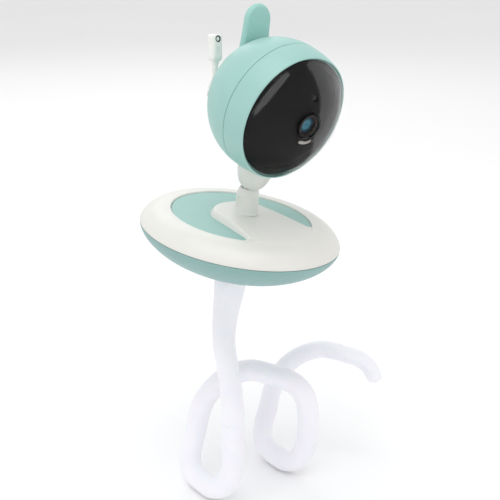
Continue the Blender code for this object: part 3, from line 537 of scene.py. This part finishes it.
def make_rear_shell():
    """Rear shell, open for the neck, antenna, inlet, button, sensor and speaker."""
    inner = HEAD_RADIUS - HEAD_WALL
    high = SEAM - 0.12
    profile = arc(inner, 179.6, angle_at(inner, high), 22)
    profile += [(HEAD_RADIUS - 0.34, high), (HEAD_RADIUS - 0.13, high - 0.06)]
    profile += arc(HEAD_RADIUS, angle_at(HEAD_RADIUS, high - 0.25), 179.6, 44)
    shell = piece_of("head_rear_shell", "mint_shell", turned(profile, FINE, "Y"), HEAD, "head",
                     ("rear_shell",))
    cutters = [
        turned([(2.7, -44), (2.7, -32)], 32, centre=(0, -HEAD_FROM_PIVOT.y / MM, 0)),
        rounded_box((-11.6, 27.4, 14.4), (11.6, 46.0, 36.0), 1.2),
        rounded_box((-4.9, 24.0, -26.4), (4.9, 40.0, -21.6), 1.2),
        turned([(3.8, -44), (3.8, -26)], 40, "Y", across_head(BUTTON_SPOT)),
        turned([(3.5, -44), (3.5, -26)], 40, "Y", across_head(GLAND_SPOT)),
    ]
    x, middle = SPEAKER_SPOT
    for row in range(-2, 3):
        z = middle + row * VENT_PITCH
        half = 3.15 + 1.65 * (2 - abs(row))
        cutters.append(rounded_box((x - half, 30, z - 0.65), (x + half, 44, z + 0.65), 0.6))
    cut(shell, cutters, HEAD)


def make_cover():
    """Domed window with a short skirt that stands in the front shell's seat."""
    centre = COVER_POLE - COVER_DOME
    inner = COVER_DOME - 1.2
    inside = COVER_EDGE - 0.7
    bottom = COVER_PLANE - 1.8
    outer_angle = math.degrees(math.asin((COVER_EDGE - 0.3) / COVER_DOME))
    inner_angle = math.degrees(math.asin(inside / inner))
    rim_height = centre + math.sqrt(COVER_DOME ** 2 - COVER_EDGE ** 2)
    profile = arc(inner, 0.3, inner_angle, 26, centre)
    profile += [(inside, bottom), (COVER_EDGE, bottom), (COVER_EDGE, rim_height - 0.25),
                (COVER_EDGE - 0.08, rim_height - 0.03)]
    profile += arc(COVER_DOME, outer_angle, 0.3, 34, centre)
    piece_of("head_front_cover", "smoked_cover", turned(profile, FINE, "Y"), HEAD, "head",
             ("front_cover",))


def make_mask():
    """Black window mask close behind the cover, open for the lens and its two neighbours."""
    centre = COVER_POLE - COVER_DOME
    inner = MASK_RADIUS - MASK_WALL
    inside, outside = MASK_EDGE - 0.8, COVER_EDGE - 1.0
    low, top = COVER_PLANE - 1.75, COVER_PLANE - 1.25
    profile = arc(inner, 0.5, math.degrees(math.asin(MASK_EDGE / inner)), 20, centre)
    profile += [(MASK_EDGE, low), (outside, low), (outside, top), (inside, top)]
    profile += arc(MASK_RADIUS, math.degrees(math.asin(inside / MASK_RADIUS)), 0.5, 20, centre)
    mask = add_piece("window_mask", turned(profile, 96, "Y"), HEAD, "head", mask_look(),
                     ("front_mask",))
    lens = (0, 0, LENS_HEIGHT)
    light_sensor = (0, 0, LIGHT_SENSOR_HEIGHT)
    cutters = [
        turned([(8.4, 20), (8.4, 40)], 72, "Y", lens),
        turned([(1.9, 15), (1.9, 40)], 32, "Y", light_sensor),
        crescent_slot(8.95, 11.35, 24, 20, 40),
    ]
    cut(mask, cutters, HEAD)


def crescent_slot(inner, outer, half_angle, low, high, steps=16):
    """Arc-shaped bar with round ends, concentric with the lens and straight below it."""
    middle, width = (outer + inner) / 2, (outer - inner) / 2
    sweep = [math.radians(-90 + half_angle * (2 * i / steps - 1)) for i in range(steps + 1)]
    outline = [(outer * math.cos(a), outer * math.sin(a)) for a in sweep]
    for end, start in ((sweep[-1], 0), (sweep[0], math.pi)):
        for i in range(1, 7):
            angle = end + start + math.pi * i / 7
            outline.append((middle * math.cos(end) + width * math.cos(angle),
                            middle * math.sin(end) + width * math.sin(angle)))
        if start == 0:
            outline += [(inner * math.cos(a), inner * math.sin(a)) for a in reversed(sweep)]
    rings = [[(x * MM, -height * MM, (LENS_HEIGHT + y) * MM) for x, y in outline]
             for height in (low, high)]
    return loft(rings)


def lens_crown(radius, height, rise, steps):
    """Inner points of an elliptical crown, from its edge towards its pole."""
    angles = [math.radians(90 * i / steps) for i in range(1, steps)]
    return [(radius * math.cos(a), height + rise * math.sin(a)) for a in angles]


def make_lens():
    """Lens with its rings and elements, the light sensor and the status light."""
    lens = HEAD @ Matrix.Translation((0, 0, LENS_HEIGHT * MM))
    bezel = softened([(5.9, 25.9, 0), (7.6, 25.9, 0), (7.6, 28.1, 0.25), (7.0, 28.9, 0.2),
                      (6.5, 28.9, 0.15), (6.3, 28.3, 0.1), (5.9, 28.1, 0.1)])
    piece_of("lens_bezel_ring", "black_plastic", turned(bezel, 96, "Y", closed=True), lens,
             "head", ("lens_bezel",))
    collar = softened([(5.55, 26.6, 0), (5.85, 26.6, 0), (5.85, 28.35, 0.1), (5.7, 28.5, 0.1),
                       (5.5, 28.35, 0.05)])
    add_piece("lens_trim_ring", turned(collar, 96, "Y", closed=True), lens, "head",
              metal("bronze_trim", (0.20, 0.12, 0.075, 1), 0.28))
    dome = [(5.4, 26.9), (5.45, 27.5), *lens_crown(5.45, 27.5, 1.5, 12), (0.12, 29.0)]
    piece_of("lens_front_element", "lens_glass", turned(dome, 96, "Y"), lens, "head",
             ("lens_glass",))
    core = [(5.3, 25.9), (5.3, 26.2), *lens_crown(5.3, 26.1, 0.62, 8), (0.1, 26.75)]
    # inner element carries a painted reflection of the softbox in its base colour
    add_piece("lens_inner_element", turned(core, 72, "Y"), lens, "head", LENS_PAINTED_REFLECTION,
              keep_frame=True)
    sensor = softened([(0.05, 21.5, 0), (1.5, 21.5, 0), (1.5, 26.4, 0.4), (0.05, 26.9, 0)])
    piece_of("light_sensor_dome", "black_plastic", turned(sensor, 40, "Y"),
             HEAD @ Matrix.Translation((0, 0, LIGHT_SENSOR_HEIGHT * MM)), "head", ("light_sensor",))
    piece_of("status_light_window", "led_clear", crescent_slot(9.15, 11.05, 23.5, 22, 29.2),
             HEAD, "head", ("status_light_pipe",))


def make_rear_fittings():
    """Pairing button, the sensor's gland and the power inlet."""
    button = HEAD @ Matrix.Translation(across_head(BUTTON_SPOT) * MM)
    profile = softened([(4.6, -30.9, 0), (4.6, -31.8, 0), (1.8, -31.8, 0), (1.8, -34.6, 0),
                        (3.5, -35.2, 0), (3.5, -37.9, 0.5), (2.2, -37.9, 0.6), (0.05, -37.5, 0)])
    piece_of("pairing_button", "white_shell", turned(profile, 64, "Y"), button, "button",
             ("pair_button",))
    gland = HEAD @ Matrix.Translation(across_head(GLAND_SPOT) * MM)
    profile = softened([(2.3, -32.6, 0), (3.2, -32.6, 0), (3.2, -38.2, 0.1), (4.4, -38.2, 0.1),
                        (4.3, -39.0, 0.3), (2.9, -39.5, 0.3), (2.3, -39.4, 0.1)])
    piece_of("sensor_gland_ring", "sensor_white", turned(profile, 64, "Y", closed=True), gland,
             "head", ("sensor_gland",))
    inlet = rounded_box((-4.5, 20, -26.0), (4.5, 31.4, -22.0), 1.0)
    block = piece_of("power_inlet_shell", "steel", inlet, HEAD, "head", ("power_inlet",))
    mouth = [rounded_box((-3.9, 24, -25.4), (3.9, 36, -22.6), 0.7)]
    cut(block, mouth, HEAD)
    tongue = rounded_box((-3.0, 24.2, -24.3), (3.0, 30.2, -23.7), 0.15)
    piece_of("power_inlet_tongue", "black_plastic", tongue, HEAD, "head")


def make_antenna():
    """Rounded paddle with crowned faces, in the frame of its hinge."""
    length, foot = 32.4, -2.9
    root, top = 11.2, 9.3                       # half widths
    half_thickness, bevel, crown_height = 2.3, 2.0, 0.18
    outline = []
    for i in range(33):
        angle = math.pi * i / 32
        outline.append((top * math.cos(angle), length - top + top * math.sin(angle)))
    side = [(top + (root - top) * i / 7, (length - top) * (1 - i / 7) + foot * i / 7)
            for i in range(1, 7)]
    outline += [(-x, z) for x, z in side]
    outline += [(-root, foot + 1.2), (-root + 1.2, foot), (root - 1.2, foot), (root, foot + 1.2)]
    outline += side[::-1]
    middle = Vector((0, 15.0))
    rings = []
    steps = 8
    for i in range(-steps, steps + 1):
        angle = math.pi / 2 * i / steps
        inset = bevel * (1 - math.cos(angle))
        y = half_thickness * math.sin(angle)
        ring = []
        for x, z in outline:
            point = Vector((x, z))
            inward = middle - point
            point = point + inward * (inset / max(inward.length, 0.01))
            ring.append((point.x * MM, y * MM, point.y * MM))
        rings.append(ring)
    for end, out in ((0, -1), (-1, 1)):
        flat = [Vector(p) for p in rings[end]]
        centre = sum(flat, Vector()) / len(flat)
        for share in (0.35, 0.75, 0.97):
            crown = Vector((0, out * crown_height * MM * math.sin(share * math.pi / 2), 0))
            ring = [p.lerp(centre, share) + crown for p in flat]
            rings.insert(0 if out < 0 else len(rings), ring)
    piece_of("antenna_paddle_fine", "mint_antenna", loft(rings), ANTENNA, "antenna",
             ("antenna_paddle",), sharp=50)


# -------------------- temperature sensor

def tube_rings(points, radii, segments, squareness=2.0):
    """Rings along points, held without twist."""
    rings = []
    normal = Vector((1, 0, 0))
    for i, point in enumerate(points):
        tangent = points[min(i + 1, len(points) - 1)] - points[max(i - 1, 0)]
        tangent.normalize()
        normal = (normal - tangent * normal.dot(tangent)).normalized()
        across = tangent.cross(normal)
        ring = []
        for c, s in circle(segments):
            size = radii[i] / (abs(c) ** squareness + abs(s) ** squareness) ** (1 / squareness)
            ring.append(point + (normal * c + across * s) * size)
        rings.append(ring)
    return rings


def catmull(points, per_span):
    """Smooth curve through vectors of any size."""
    result = []
    for i in range(len(points) - 1):
        p0, p1, p2 = points[max(i - 1, 0)], points[i], points[i + 1]
        p3 = points[min(i + 2, len(points) - 1)]
        for k in range(per_span):
            t = k / per_span
            result.append(p0 * ((-t + 2 * t ** 2 - t ** 3) / 2)
                          + p1 * ((2 - 5 * t ** 2 + 3 * t ** 3) / 2)
                          + p2 * ((t + 4 * t ** 2 - 3 * t ** 3) / 2)
                          + p3 * ((-t ** 2 + t ** 3) / 2))
    result.append(points[-1].copy())
    return result


PROBE_LOW = Vector((0, 1.8, 17.7)) * MM
PROBE_HIGH = Vector((0, 8.1, 32.2)) * MM


def make_sensor_tail():
    """Tail cable and the ribbed strain relief that leads it into the probe."""
    route = [Vector((0, y, z, r)) for y, z, r in
             ((-1.85, 0.0, 0.4), (-1.5, 0.0, 1.05), (-0.8, 0.0, 1.5), (0.1, 0.6, 1.5),
              (0.35, 2.2, 1.3), (0.1, 4.5, 1.15), (-0.4, 7.5, 1.1), (-0.75, 10.6, 1.1))]
    line = catmull(route, 8)
    points = [Vector((0, p.y, p.z)) * MM for p in line]
    piece_of("sensor_tail_cable", "sensor_white",
             loft(tube_rings(points, [p.w * MM for p in line], 24)), SENSOR, "sensor",
             ("sensor_tail",))
    low, high = Vector((0, -0.75, 10.4)), Vector((0, 1.9, 18.8))
    ribs, ribbed_share, rib_height = 5, 0.62, 0.22
    centres, radii = [], []
    for i in range(61):
        share = i / 60
        radius = 1.55 + 0.25 * share + 0.7 * smoothstep(0.55, 1.0, share)
        if share < ribbed_share:
            wave = math.sin(share / ribbed_share * ribs * math.pi * 2)
            radius += rib_height * max(wave, 0)
        centres.append(low.lerp(high, share) * MM)
        radii.append(radius * MM)
    piece_of("sensor_strain_relief", "sensor_white", loft(tube_rings(centres, radii, 32)),
             SENSOR, "sensor")


def make_probe():
    """Flat rounded probe with a ringed eye for the thermistor and a dimple on each face."""
    axis = (PROBE_HIGH - PROBE_LOW).normalized()
    thick = axis.cross(Vector((1, 0, 0)))
    length = (PROBE_HIGH - PROBE_LOW).length
    rings = []
    for i in range(41):
        share = i / 40
        ends = min(share / 0.16, 1.0, (1 - share) / 0.12)
        rounding = math.sqrt(1 - (1 - max(ends, 0.02)) ** 2)
        wide = (2.3 + 1.5 * rounding) * MM
        deep = (2.0 + 1.3 * rounding) * MM
        centre = PROBE_LOW + axis * (length * share)
        ring = []
        for c, s in circle(48):
            size = (abs(c) ** 4 + abs(s) ** 4) ** -0.25
            ring.append(centre + Vector((wide * c * size, 0, 0)) + thick * (deep * s * size))
        rings.append(ring)
    probe = piece_of("sensor_probe_body", "sensor_white", loft(rings), SENSOR, "sensor",
                     ("sensor_probe",))
    eye = PROBE_LOW + axis * (length * 0.82)
    through = thick.to_track_quat("Z", "Y").to_matrix().to_4x4()
    to_eye = Matrix.Translation(eye) @ through
    hole = moved(turned([(2.0, -6), (2.0, 6)], 40), to_eye)
    dimple_spot = PROBE_LOW + axis * (length * 0.36)
    to_dimple = Matrix.Translation(dimple_spot) @ through @ Matrix.Diagonal((0.8, 1.35, 1, 1))
    cutters = [hole]
    for side in (-1, 1):
        dimple = turned([(1.9, 3.0 * side), (1.9, 5.0 * side)], 40)
        cutters.append(moved(dimple, to_dimple))
    cut(probe, cutters, SENSOR)
    ring = turned(softened([(1.35, -3.2, 0), (1.98, -3.2, 0.1), (1.98, 3.2, 0.1),
                            (1.35, 3.2, 0.1)]), 40, closed=True)
    piece_of("sensor_window_ring", "black_plastic", moved(ring, to_eye), SENSOR, "sensor")
    bead = turned(softened([(0.03, -3.15, 0), (1.28, -3.0, 0.3), (1.28, 3.0, 0.3),
                            (0.03, 3.15, 0)]), 32)
    piece_of("thermistor_bead", "sensor_white", moved(bead, to_eye), SENSOR, "sensor",
             ("thermistor",))


# -------------------- neck and stem

def make_collar():
    """White bowl between ball and head, hollowed to fit both."""
    slide = 7.3                                 # radius of the hollow over the stem's dome
    profile = [(radius * MM, math.sqrt(slide ** 2 - radius ** 2) * MM)
               for radius in (2.5, 3.2, 3.9, 4.5, 4.9)]
    outline = [Vector(p) for p in ((5.2, 5.25), (5.9, 5.6), (7.1, 6.7), (8.3, 8.3), (9.4, 10.5),
                                   (10.2, 13.0), (10.9, 16.0), (11.3, 18.2))]
    profile += [(p.x * MM, p.y * MM) for p in catmull(outline, 5)]
    reach = HEAD_RADIUS + 0.15
    side = -HEAD_FROM_PIVOT.y / MM
    rings = []
    for radius, height in profile:
        rings.append([(radius * c, radius * s, height) for c, s in circle(96)])
    for radius in (11.15, 9.0, 6.0, 2.5):
        ring = []
        for c, s in circle(96):
            x, y = radius * c, radius * s
            z = HEAD_FROM_PIVOT.z / MM - math.sqrt(reach ** 2 - x ** 2 - (y - side) ** 2)
            ring.append((x * MM, y * MM, z * MM))
        rings.append(ring)
    piece_of("neck_collar_bowl", "neck_white", loft(rings, closed=True), NECK, "head",
             ("neck_collar",))


def groove_depth(angle, height):
    """Four shallow rounded slots around the socket, front, back and sides."""
    half_width, slope, low, high, depth = 1.5, 0.45, 16.6, 25.0, 0.55
    from_slot = (angle + math.pi / 4) % (math.pi / 2) - math.pi / 4
    across = from_slot * 7.0
    along = min(max(height, low + half_width), high - half_width)
    distance = math.hypot(across, height - along)
    return depth * (1 - smoothstep(half_width - slope, half_width, distance))


def make_stem():
    """Tapered post with a domed socket for the ball."""
    profile = [(2.4, 13.65), (8.3, 13.65), (8.15, 13.75), (7.75, 14.1), (7.5, 14.7)]
    profile += [(7.45 - 0.5 * (z - 15.2) / 10.4, z) for z in
                [15.2 + 10.2 * i / 44 for i in range(45)]]
    profile += arc(6.9, 89, 53.5, 12, PIVOT_IN_BASE.z / MM)
    profile += [(5.42, 29.72), (5.2, 29.5), (4.12, 28.55), (3.98, 28.42)]
    profile += [(4.9, 25.6), (4.9, 19.0), (2.4, 19.0)]
    facets, grooved_beyond = 160, 6.8
    rings = []
    for radius, height in profile:
        ring = []
        for i in range(facets):
            angle = 2 * math.pi * i / facets
            r = radius - (groove_depth(angle, height) if radius > grooved_beyond else 0)
            ring.append((r * math.cos(angle) * MM, r * math.sin(angle) * MM, height * MM))
        rings.append(ring)
    stem = BASE @ Matrix.Translation((0, PIVOT_IN_BASE.y, 0))
    piece_of("neck_stem", "neck_white", loft(rings, closed=True), stem, "base", ("stem",))


# -------------------- base

HALF_WIDTH, HALF_LENGTH = 60.0, 67.0
BOWL_DEPTH = 24.0
INLAY_SCALE = 0.70
FLOOR_HEIGHT, INLAY_HEIGHT = 8.5, 9.6
RIM_RIDGE, RIM_TOP, RIM_EDGE = 0.755, 10.5, 0.35
TONGUE_RADIUS, TONGUE_BACK, TONGUE_FRONT, TONGUE_FLARE = 17.5, -2.0, -52.0, 5.5
TONGUE_FOOT, TONGUE_TOP, TONGUE_TIP = 3.5, 13.6, 10.2
FOOT_CIRCLE = 19.0


def rim_height(scale):
    """Crown of the white rim over the share of the base ellipse."""
    if scale >= RIM_RIDGE:
        share = (scale - RIM_RIDGE) / (1 - RIM_RIDGE)
        return RIM_EDGE + (RIM_TOP - RIM_EDGE) * max(1 - share * share, 0) ** 0.72
    return RIM_TOP - 0.21 * ((RIM_RIDGE - scale) / (RIM_RIDGE - INLAY_SCALE)) ** 2


def tongue_distance(x, y):
    """Distance outside the tongue's foot line, negative on the tongue."""
    if y > TONGUE_BACK:
        return math.hypot(x, y - TONGUE_BACK) - TONGUE_RADIUS - TONGUE_FOOT
    share = (TONGUE_BACK - y) / (TONGUE_BACK - TONGUE_FRONT)
    return abs(x) - TONGUE_RADIUS - TONGUE_FOOT - TONGUE_FLARE * share


def tongue_height(y):
    """Plateau round the stem that eases down to the front rim."""
    flat_until = -9.0
    share = min(max((flat_until - y) / (flat_until - TONGUE_FRONT), 0), 1)
    eased = share + 0.12 * math.sin(math.pi * share) * (share - 0.5) * 2
    return TONGUE_TOP + (TONGUE_TIP - TONGUE_TOP) * eased


def smooth_minimum(a, b, radius):
    mix = max(radius - abs(a - b), 0) / radius
    return min(a, b) - mix * mix * radius / 4


def white_surface(x, y, scale):
    """Height of the white shell: rim, rounded lip, tongue with sloped sides, inlay floor."""
    from_rim = (INLAY_SCALE - scale) * 62       # millimetres, roughly, inside the inlay's edge
    from_tongue = tongue_distance(x, y)
    inlay_depth = smooth_minimum(from_rim, from_tongue, 7.0)
    top = tongue_height(y)
    if scale > INLAY_SCALE:
        on_tongue = smoothstep(0, 6, -from_tongue) * (1 - smoothstep(INLAY_SCALE, 0.8, scale))
        top = rim_height(scale) + (top - rim_height(scale)) * on_tongue
    wall = 0.5 + 0.85 * max(top - 10.3, 0)
    rise = min(max(-inlay_depth / wall, 0), 1)
    rounded = math.sin(math.pi / 2 * rise) ** 0.85
    return FLOOR_HEIGHT + (top - FLOOR_HEIGHT) * rounded


def base_ring(scale, height, segments):
    """Ring at a share of the base ellipse, level or at a height that depends on the place."""
    ring = []
    for c, s in circle(segments):
        x, y = HALF_WIDTH * scale * c, HALF_LENGTH * scale * s
        z = height(x, y) if callable(height) else height
        ring.append((x * MM, y * MM, z * MM))
    return ring


def make_base_top():
    """White top shell with its raised tongue, and the mint inlay that lies in it."""
    segments, centre = 264, 0.012
    scales = [centre + 0.668 * i / 74 for i in range(75)]
    scales += [0.683 + 0.003 * i for i in range(14)]
    scales += [0.73, 0.745, 0.76]
    scales += [0.76 + 0.24 * math.sin(math.pi / 2 * i / 30) for i in range(1, 31)]
    rings = [base_ring(k, lambda x, y, k=k: white_surface(x, y, k), segments) for k in scales]
    for scale, height in ((0.9985, 0.16), (0.965, 0.16), (0.94, 2.2), (0.88, 4.6), (0.80, 6.0),
                          (0.66, 6.3), (centre, 6.3)):
        rings.append(base_ring(scale, height, segments))
    piece_of("base_top_white", "white_shell", loft(rings), BASE, "base", ("base_top_shell",),
             sharp=60)

    edge = INLAY_SCALE - 0.0045
    flat_edge = edge - 0.005
    inlay = [base_ring(scale, height, segments) for scale, height in
             ((centre, 8.9), (edge, 8.9), (edge, 9.42), (edge - 0.0015, 9.54),
              (flat_edge, INLAY_HEIGHT))]
    for i in range(1, 25):
        scale = flat_edge * (1 - i / 25) + centre * i / 25
        crown = 0.3 * (1 - (scale / edge) ** 2)
        inlay.append(base_ring(scale, INLAY_HEIGHT + crown, segments))
    piece_of("base_inlay_mint", "mint_inlay", loft(inlay), BASE, "base", ("base_inlay",))


def bowl_scale(depth):
    """Share of the base ellipse at a depth below the rim."""
    return math.sqrt(1 - 0.84 * (max(depth, 0) / BOWL_DEPTH) ** 1.7)


def make_bowl():
    """Mint bowl, hollow above and open round the middle for the arm, on three rubber feet."""
    segments, bore = 216, 0.09
    steps = 14
    rings = [base_ring(bore, 2.2 - BOWL_DEPTH, segments)]
    for i in range(steps + 1):
        depth = 0.3 + (BOWL_DEPTH - 2.5) * (1 - i / steps)
        rings.append(base_ring(bowl_scale(depth + 1.6) - 0.034, -depth, segments))
    for scale, height in ((0.962, -0.17), (0.9955, -0.17), (0.9985, -0.32)):
        rings.append(base_ring(scale, height, segments))
    steps = 40
    for i in range(1, steps + 1):
        depth = 0.4 + (BOWL_DEPTH - 0.9) * (i / steps) ** 0.9
        rings.append(base_ring(bowl_scale(depth), -depth, segments))
    sole = bowl_scale(BOWL_DEPTH)
    for scale, height in ((sole - 0.012, -23.85), (sole - 0.03, -BOWL_DEPTH),
                          (bore, -BOWL_DEPTH)):
        rings.append(base_ring(scale, height, segments))
    piece_of("base_bowl_mint", "mint_bowl", loft(rings, closed=True), BASE, "base",
             ("base_bottom_shell",))
    for i in range(3):
        angle = math.radians(90 + 120 * i)
        offset = Vector((math.cos(angle), math.sin(angle), 0)) * (FOOT_CIRCLE * MM)
        spot = BASE @ Matrix.Translation(offset)
        pad = softened([(0.05, -24.1, 0), (4.0, -24.1, 0), (4.0, -25.9, 0.7), (1.2, -25.9, 0.3),
                        (0.9, -25.6, 0), (0.05, -25.6, 0)])
        piece_of(f"rubber_foot_pad_{i + 1}", "rubber", turned(pad, 48), spot, "base",
                 (f"rubber_foot_{i + 1}",))


# -------------------- bendable arm

UPRIGHT_ROUTE = [
    (-35.4, 2.6, 106.0, 9.8), (-37.2, 2.6, 95.0, 8.9), (-39.4, 1.8, 85.0, 8.1),
    (-41.8, -0.2, 75.0, 7.5), (-43.4, -3.4, 66.0, 7.1), (-44.2, -8.0, 56.5, 6.9),
    (-45.0, -13.0, 45.8, 6.9), (-46.1, -18.0, 32.5, 7.0), (-47.3, -21.4, 18.5, 7.1),
]
COIL_HALF_DEPTH, COIL_HALF_HEIGHT, COIL_SQUARENESS = 23.0, 35.5, 3.0
COIL_START_X, COIL_PITCH = -48.5, 60.0
COIL_SWAY = (15.25, 9.25)
COIL_START_DEG, COIL_TAPER_DEG, COIL_END_DEG, COIL_STEP_DEG = -12, 430, 712, 18.1
TIP_RADIUS, ARM_RADIUS = 5.3, 7.2
SLEEVE_SQUARENESS = 2.25
SAMPLES = 14                            # per span of the arm's line
BEND_REACH = 13                         # samples either side of a bend


def coil_station(angle_deg):
    """Rounded-rectangle winding: position and radius in millimetres at an angle."""
    angle = math.radians(angle_deg)
    cosine, sine = math.cos(angle), math.sin(angle)
    power = 2 / COIL_SQUARENESS
    x = COIL_START_X + COIL_PITCH * angle_deg / 360
    x -= COIL_SWAY[0] * (1 - cosine) + COIL_SWAY[1] * sine
    y = -COIL_HALF_DEPTH * math.copysign(abs(cosine) ** power, cosine)
    z = -COIL_HALF_HEIGHT * math.copysign(abs(sine) ** power, sine)
    taper = max(angle_deg - COIL_TAPER_DEG, 0) / (COIL_END_DEG - COIL_TAPER_DEG)
    return Vector((x, y, z, ARM_RADIUS + (TIP_RADIUS - ARM_RADIUS) * taper ** 1.2))


def arm_line():
    """Even, fine samples of the arm's centre line with its radius, from the base down."""
    stations = []
    for depth, radius in ((24.3, 10.2), (28.0, 10.1)):
        point = BASE @ Vector((0, 0, -depth * MM)) / MM
        stations.append(Vector((*point, radius)))
    stations += [Vector(p) for p in UPRIGHT_ROUTE]
    angle = COIL_START_DEG
    while angle <= COIL_END_DEG:
        stations.append(coil_station(angle))
        angle += COIL_STEP_DEG
    return catmull(stations, SAMPLES)


def nearest_sample(line, joint):
    """Index of the arm's sample nearest to a joint."""
    place = joint_vector(joint, "pos_m")
    return min(range(len(line)), key=lambda i: (line[i].to_3d() * MM - place).length)


def sleeve_rings(line):
    """Rings of the whole sleeve with its rounded tip."""
    points = [p.to_3d() * MM for p in line]
    radii = [p.w * MM for p in line]
    ahead = (points[-1] - points[-3]).normalized()
    end, size = points[-1], radii[-1]
    for degrees in range(8, 90, 8):
        turn_in = math.radians(degrees)
        points.append(end + ahead * size * 0.9 * math.sin(turn_in))
        radii.append(size * math.cos(turn_in) ** 0.8)
    return tube_rings(points, radii, 48, SLEEVE_SQUARENESS)


def make_arm():
    """Sleeve in four stretches; only the winding rides on a body, the other three stay unattached where they are
    built.
    """
    line = arm_line()
    upper, lower, tail = [nearest_sample(line, joint) for joint in
                          ("arm_bend_upper", "arm_bend_lower", "arm_tail_bend")]
    middle = (upper + lower) // 2
    wrap_start, wrap_end = lower + 3 * SAMPLES, tail - 34
    rings = sleeve_rings(line)
    last = len(rings) - 1
    stretches = (
        ("arm_sleeve_top", 0, middle, "base", "arm_head", upper, "arm_upright"),
        ("arm_sleeve_middle", middle, wrap_start, "arm_upright", "arm_sleeve_upright", lower,
         "arm_wrap"),
        ("arm_sleeve_winding", wrap_start, wrap_end, "arm_wrap", "arm_sleeve_wrap", None, None),
        ("arm_sleeve_tip", wrap_end, last, "arm_wrap", "arm_sleeve_tail", tail, "arm_tail"),
    )
    for name, start, end, body, node, bend, other in stretches:
        sleeve = add_piece(name, loft(rings[start:end + 1]), Matrix.Identity(4),
                           None if bend else body, LOOKS["arm_silicone"])
        if bend:
            begin, finish = [tuple(line[i].to_3d() * MM)
                             for i in (bend - BEND_REACH, bend + BEND_REACH)]
            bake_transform(sleeve)
            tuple(begin)
            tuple(finish)
        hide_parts(node)


# -------------------- room, light and camera

FLOOR_GAP = 0.4 * MM


def make_floor(height):
    """Plain pale floor."""
    bm = bmesh.new()
    bmesh.ops.create_grid(bm, x_segments=1, y_segments=1, size=9)
    look = Look("pale_floor", 0.9)
    look.feed(look.ramp(look.noise(0.6, 2.0), [(0.3, (0.955, 0.955, 0.96, 1)),
                                               (0.7, (0.97, 0.97, 0.972, 1))]), "Base Color")
    floor = add_piece("floor", bm, Matrix.Translation((0, 0, height)), None, look.material)


def area_light(name, place, target, size, power):
    light = bpy.data.lights.new(name, "AREA")
    light.shape = "RECTANGLE"
    light.size, light.size_y = size
    light.energy = power
    lamp = placed(name, light)
    lamp.location = place
    lamp.rotation_euler = (Vector(target) - Vector(place)).to_track_quat("-Z", "Y").to_euler()
    return lamp


def make_world():
    """Pale surround: bright round the horizon and dimmer overhead."""
    world = bpy.context.scene.world or bpy.data.worlds.new("studio")
    bpy.context.scene.world = world
    world.use_nodes = True
    link, node = world.node_tree.links.new, world.node_tree.nodes.new
    coords, parts, ramp = [node("ShaderNode" + kind)
                           for kind in ("TexCoord", "SeparateXYZ", "ValToRGB")]
    link(coords.outputs["Generated"], parts.inputs["Vector"])
    for element, (height, grey) in zip(ramp.color_ramp.elements, ((0.0, 1.0), (0.8, 0.74))):
        element.position, element.color = height, (grey, grey, grey, 1)
    link(parts.outputs["Z"], ramp.inputs["Fac"])
    background = world.node_tree.nodes["Background"]
    link(ramp.outputs["Color"], background.inputs["Color"])
    background.inputs["Strength"].default_value = 1.0


def direction(azimuth, elevation):
    """Unit vector from degrees, azimuth counted from -Y towards +X."""
    azimuth, elevation = math.radians(azimuth), math.radians(elevation)
    return Vector((math.sin(azimuth) * math.cos(elevation),
                   -math.cos(azimuth) * math.cos(elevation), math.sin(elevation)))


def reflection_panel(name, first, last, width, radiance, only):
    """Long panel between two directions from the head, seen only in the cover's gloss."""
    first, last = direction(*first), direction(*last)
    middle = (first + last).normalized()
    distance = 0.28                  # near enough to stay above the floor
    length = 2 * math.tan(first.angle(last) / 2) * distance
    width *= distance
    place = HEAD.translation + middle * distance
    lamp = area_light(name, place, HEAD.translation, (width, length),
                      radiance * width * length * math.pi)
    along = (last - first - middle * (last - first).dot(middle)).normalized()
    lamp.rotation_euler = Matrix((along.cross(middle), along, middle)).transposed().to_euler()
    lamp.data.use_shadow = False
    lamp.visible_camera = False
    lamp.light_linking.receiver_collection = only


def make_lights():
    centre = (-0.02, -0.01, 0.14)
    area_light("overhead_softbox", (-0.35, -0.25, 1.6), centre, (1.3, 1.3), 10)
    area_light("rear_softbox", (0.5, 1.4, 1.1), centre, (0.9, 0.9), 3)
    cover_only = bpy.data.collections.new("cover_reflections")
    cover_only.objects.link(bpy.data.objects["head_front_cover"])
    reflection_panel("right_window", (95, -58), (95, 48), 1.95, 2.6, cover_only)
    reflection_panel("upper_left_strip", (-50, -8), (8, 46), 0.17, 3.9, cover_only)


CAMERA_PLACE = Vector((-0.3077, -0.4556, 0.3328))
CAMERA_TARGET = Vector((-0.0268, -0.00765, 0.13093))
CAMERA_ROLL = math.radians(0.35)
CAMERA_LENS = 64.8


def make_camera():
    data = bpy.data.cameras.new("camera")
    data.lens = CAMERA_LENS
    data.sensor_width = 36
    data.clip_start = 0.01
    data.clip_end = 50
    camera = placed("camera", data)
    camera.location = CAMERA_PLACE
    look = (CAMERA_TARGET - CAMERA_PLACE).to_track_quat("-Z", "Y").to_matrix()
    camera.rotation_euler = (look @ Matrix.Rotation(CAMERA_ROLL, 3, "Z")).to_euler()
    bpy.context.scene.camera = camera


def main():
    make_camera()
    dress_cad_nodes()
    make_front_shell()
    make_rear_shell()
    make_cover()
    make_mask()
    make_lens()
    make_rear_fittings()
    make_antenna()
    make_sensor_tail()
    make_probe()
    make_collar()
    make_stem()
    make_base_top()
    make_bowl()
    make_arm()
    make_world()
    make_lights()
    make_floor(CAD_BOX[0][2] - FLOOR_GAP)
    bpy.context.scene.view_settings.view_transform = "Standard"


main()
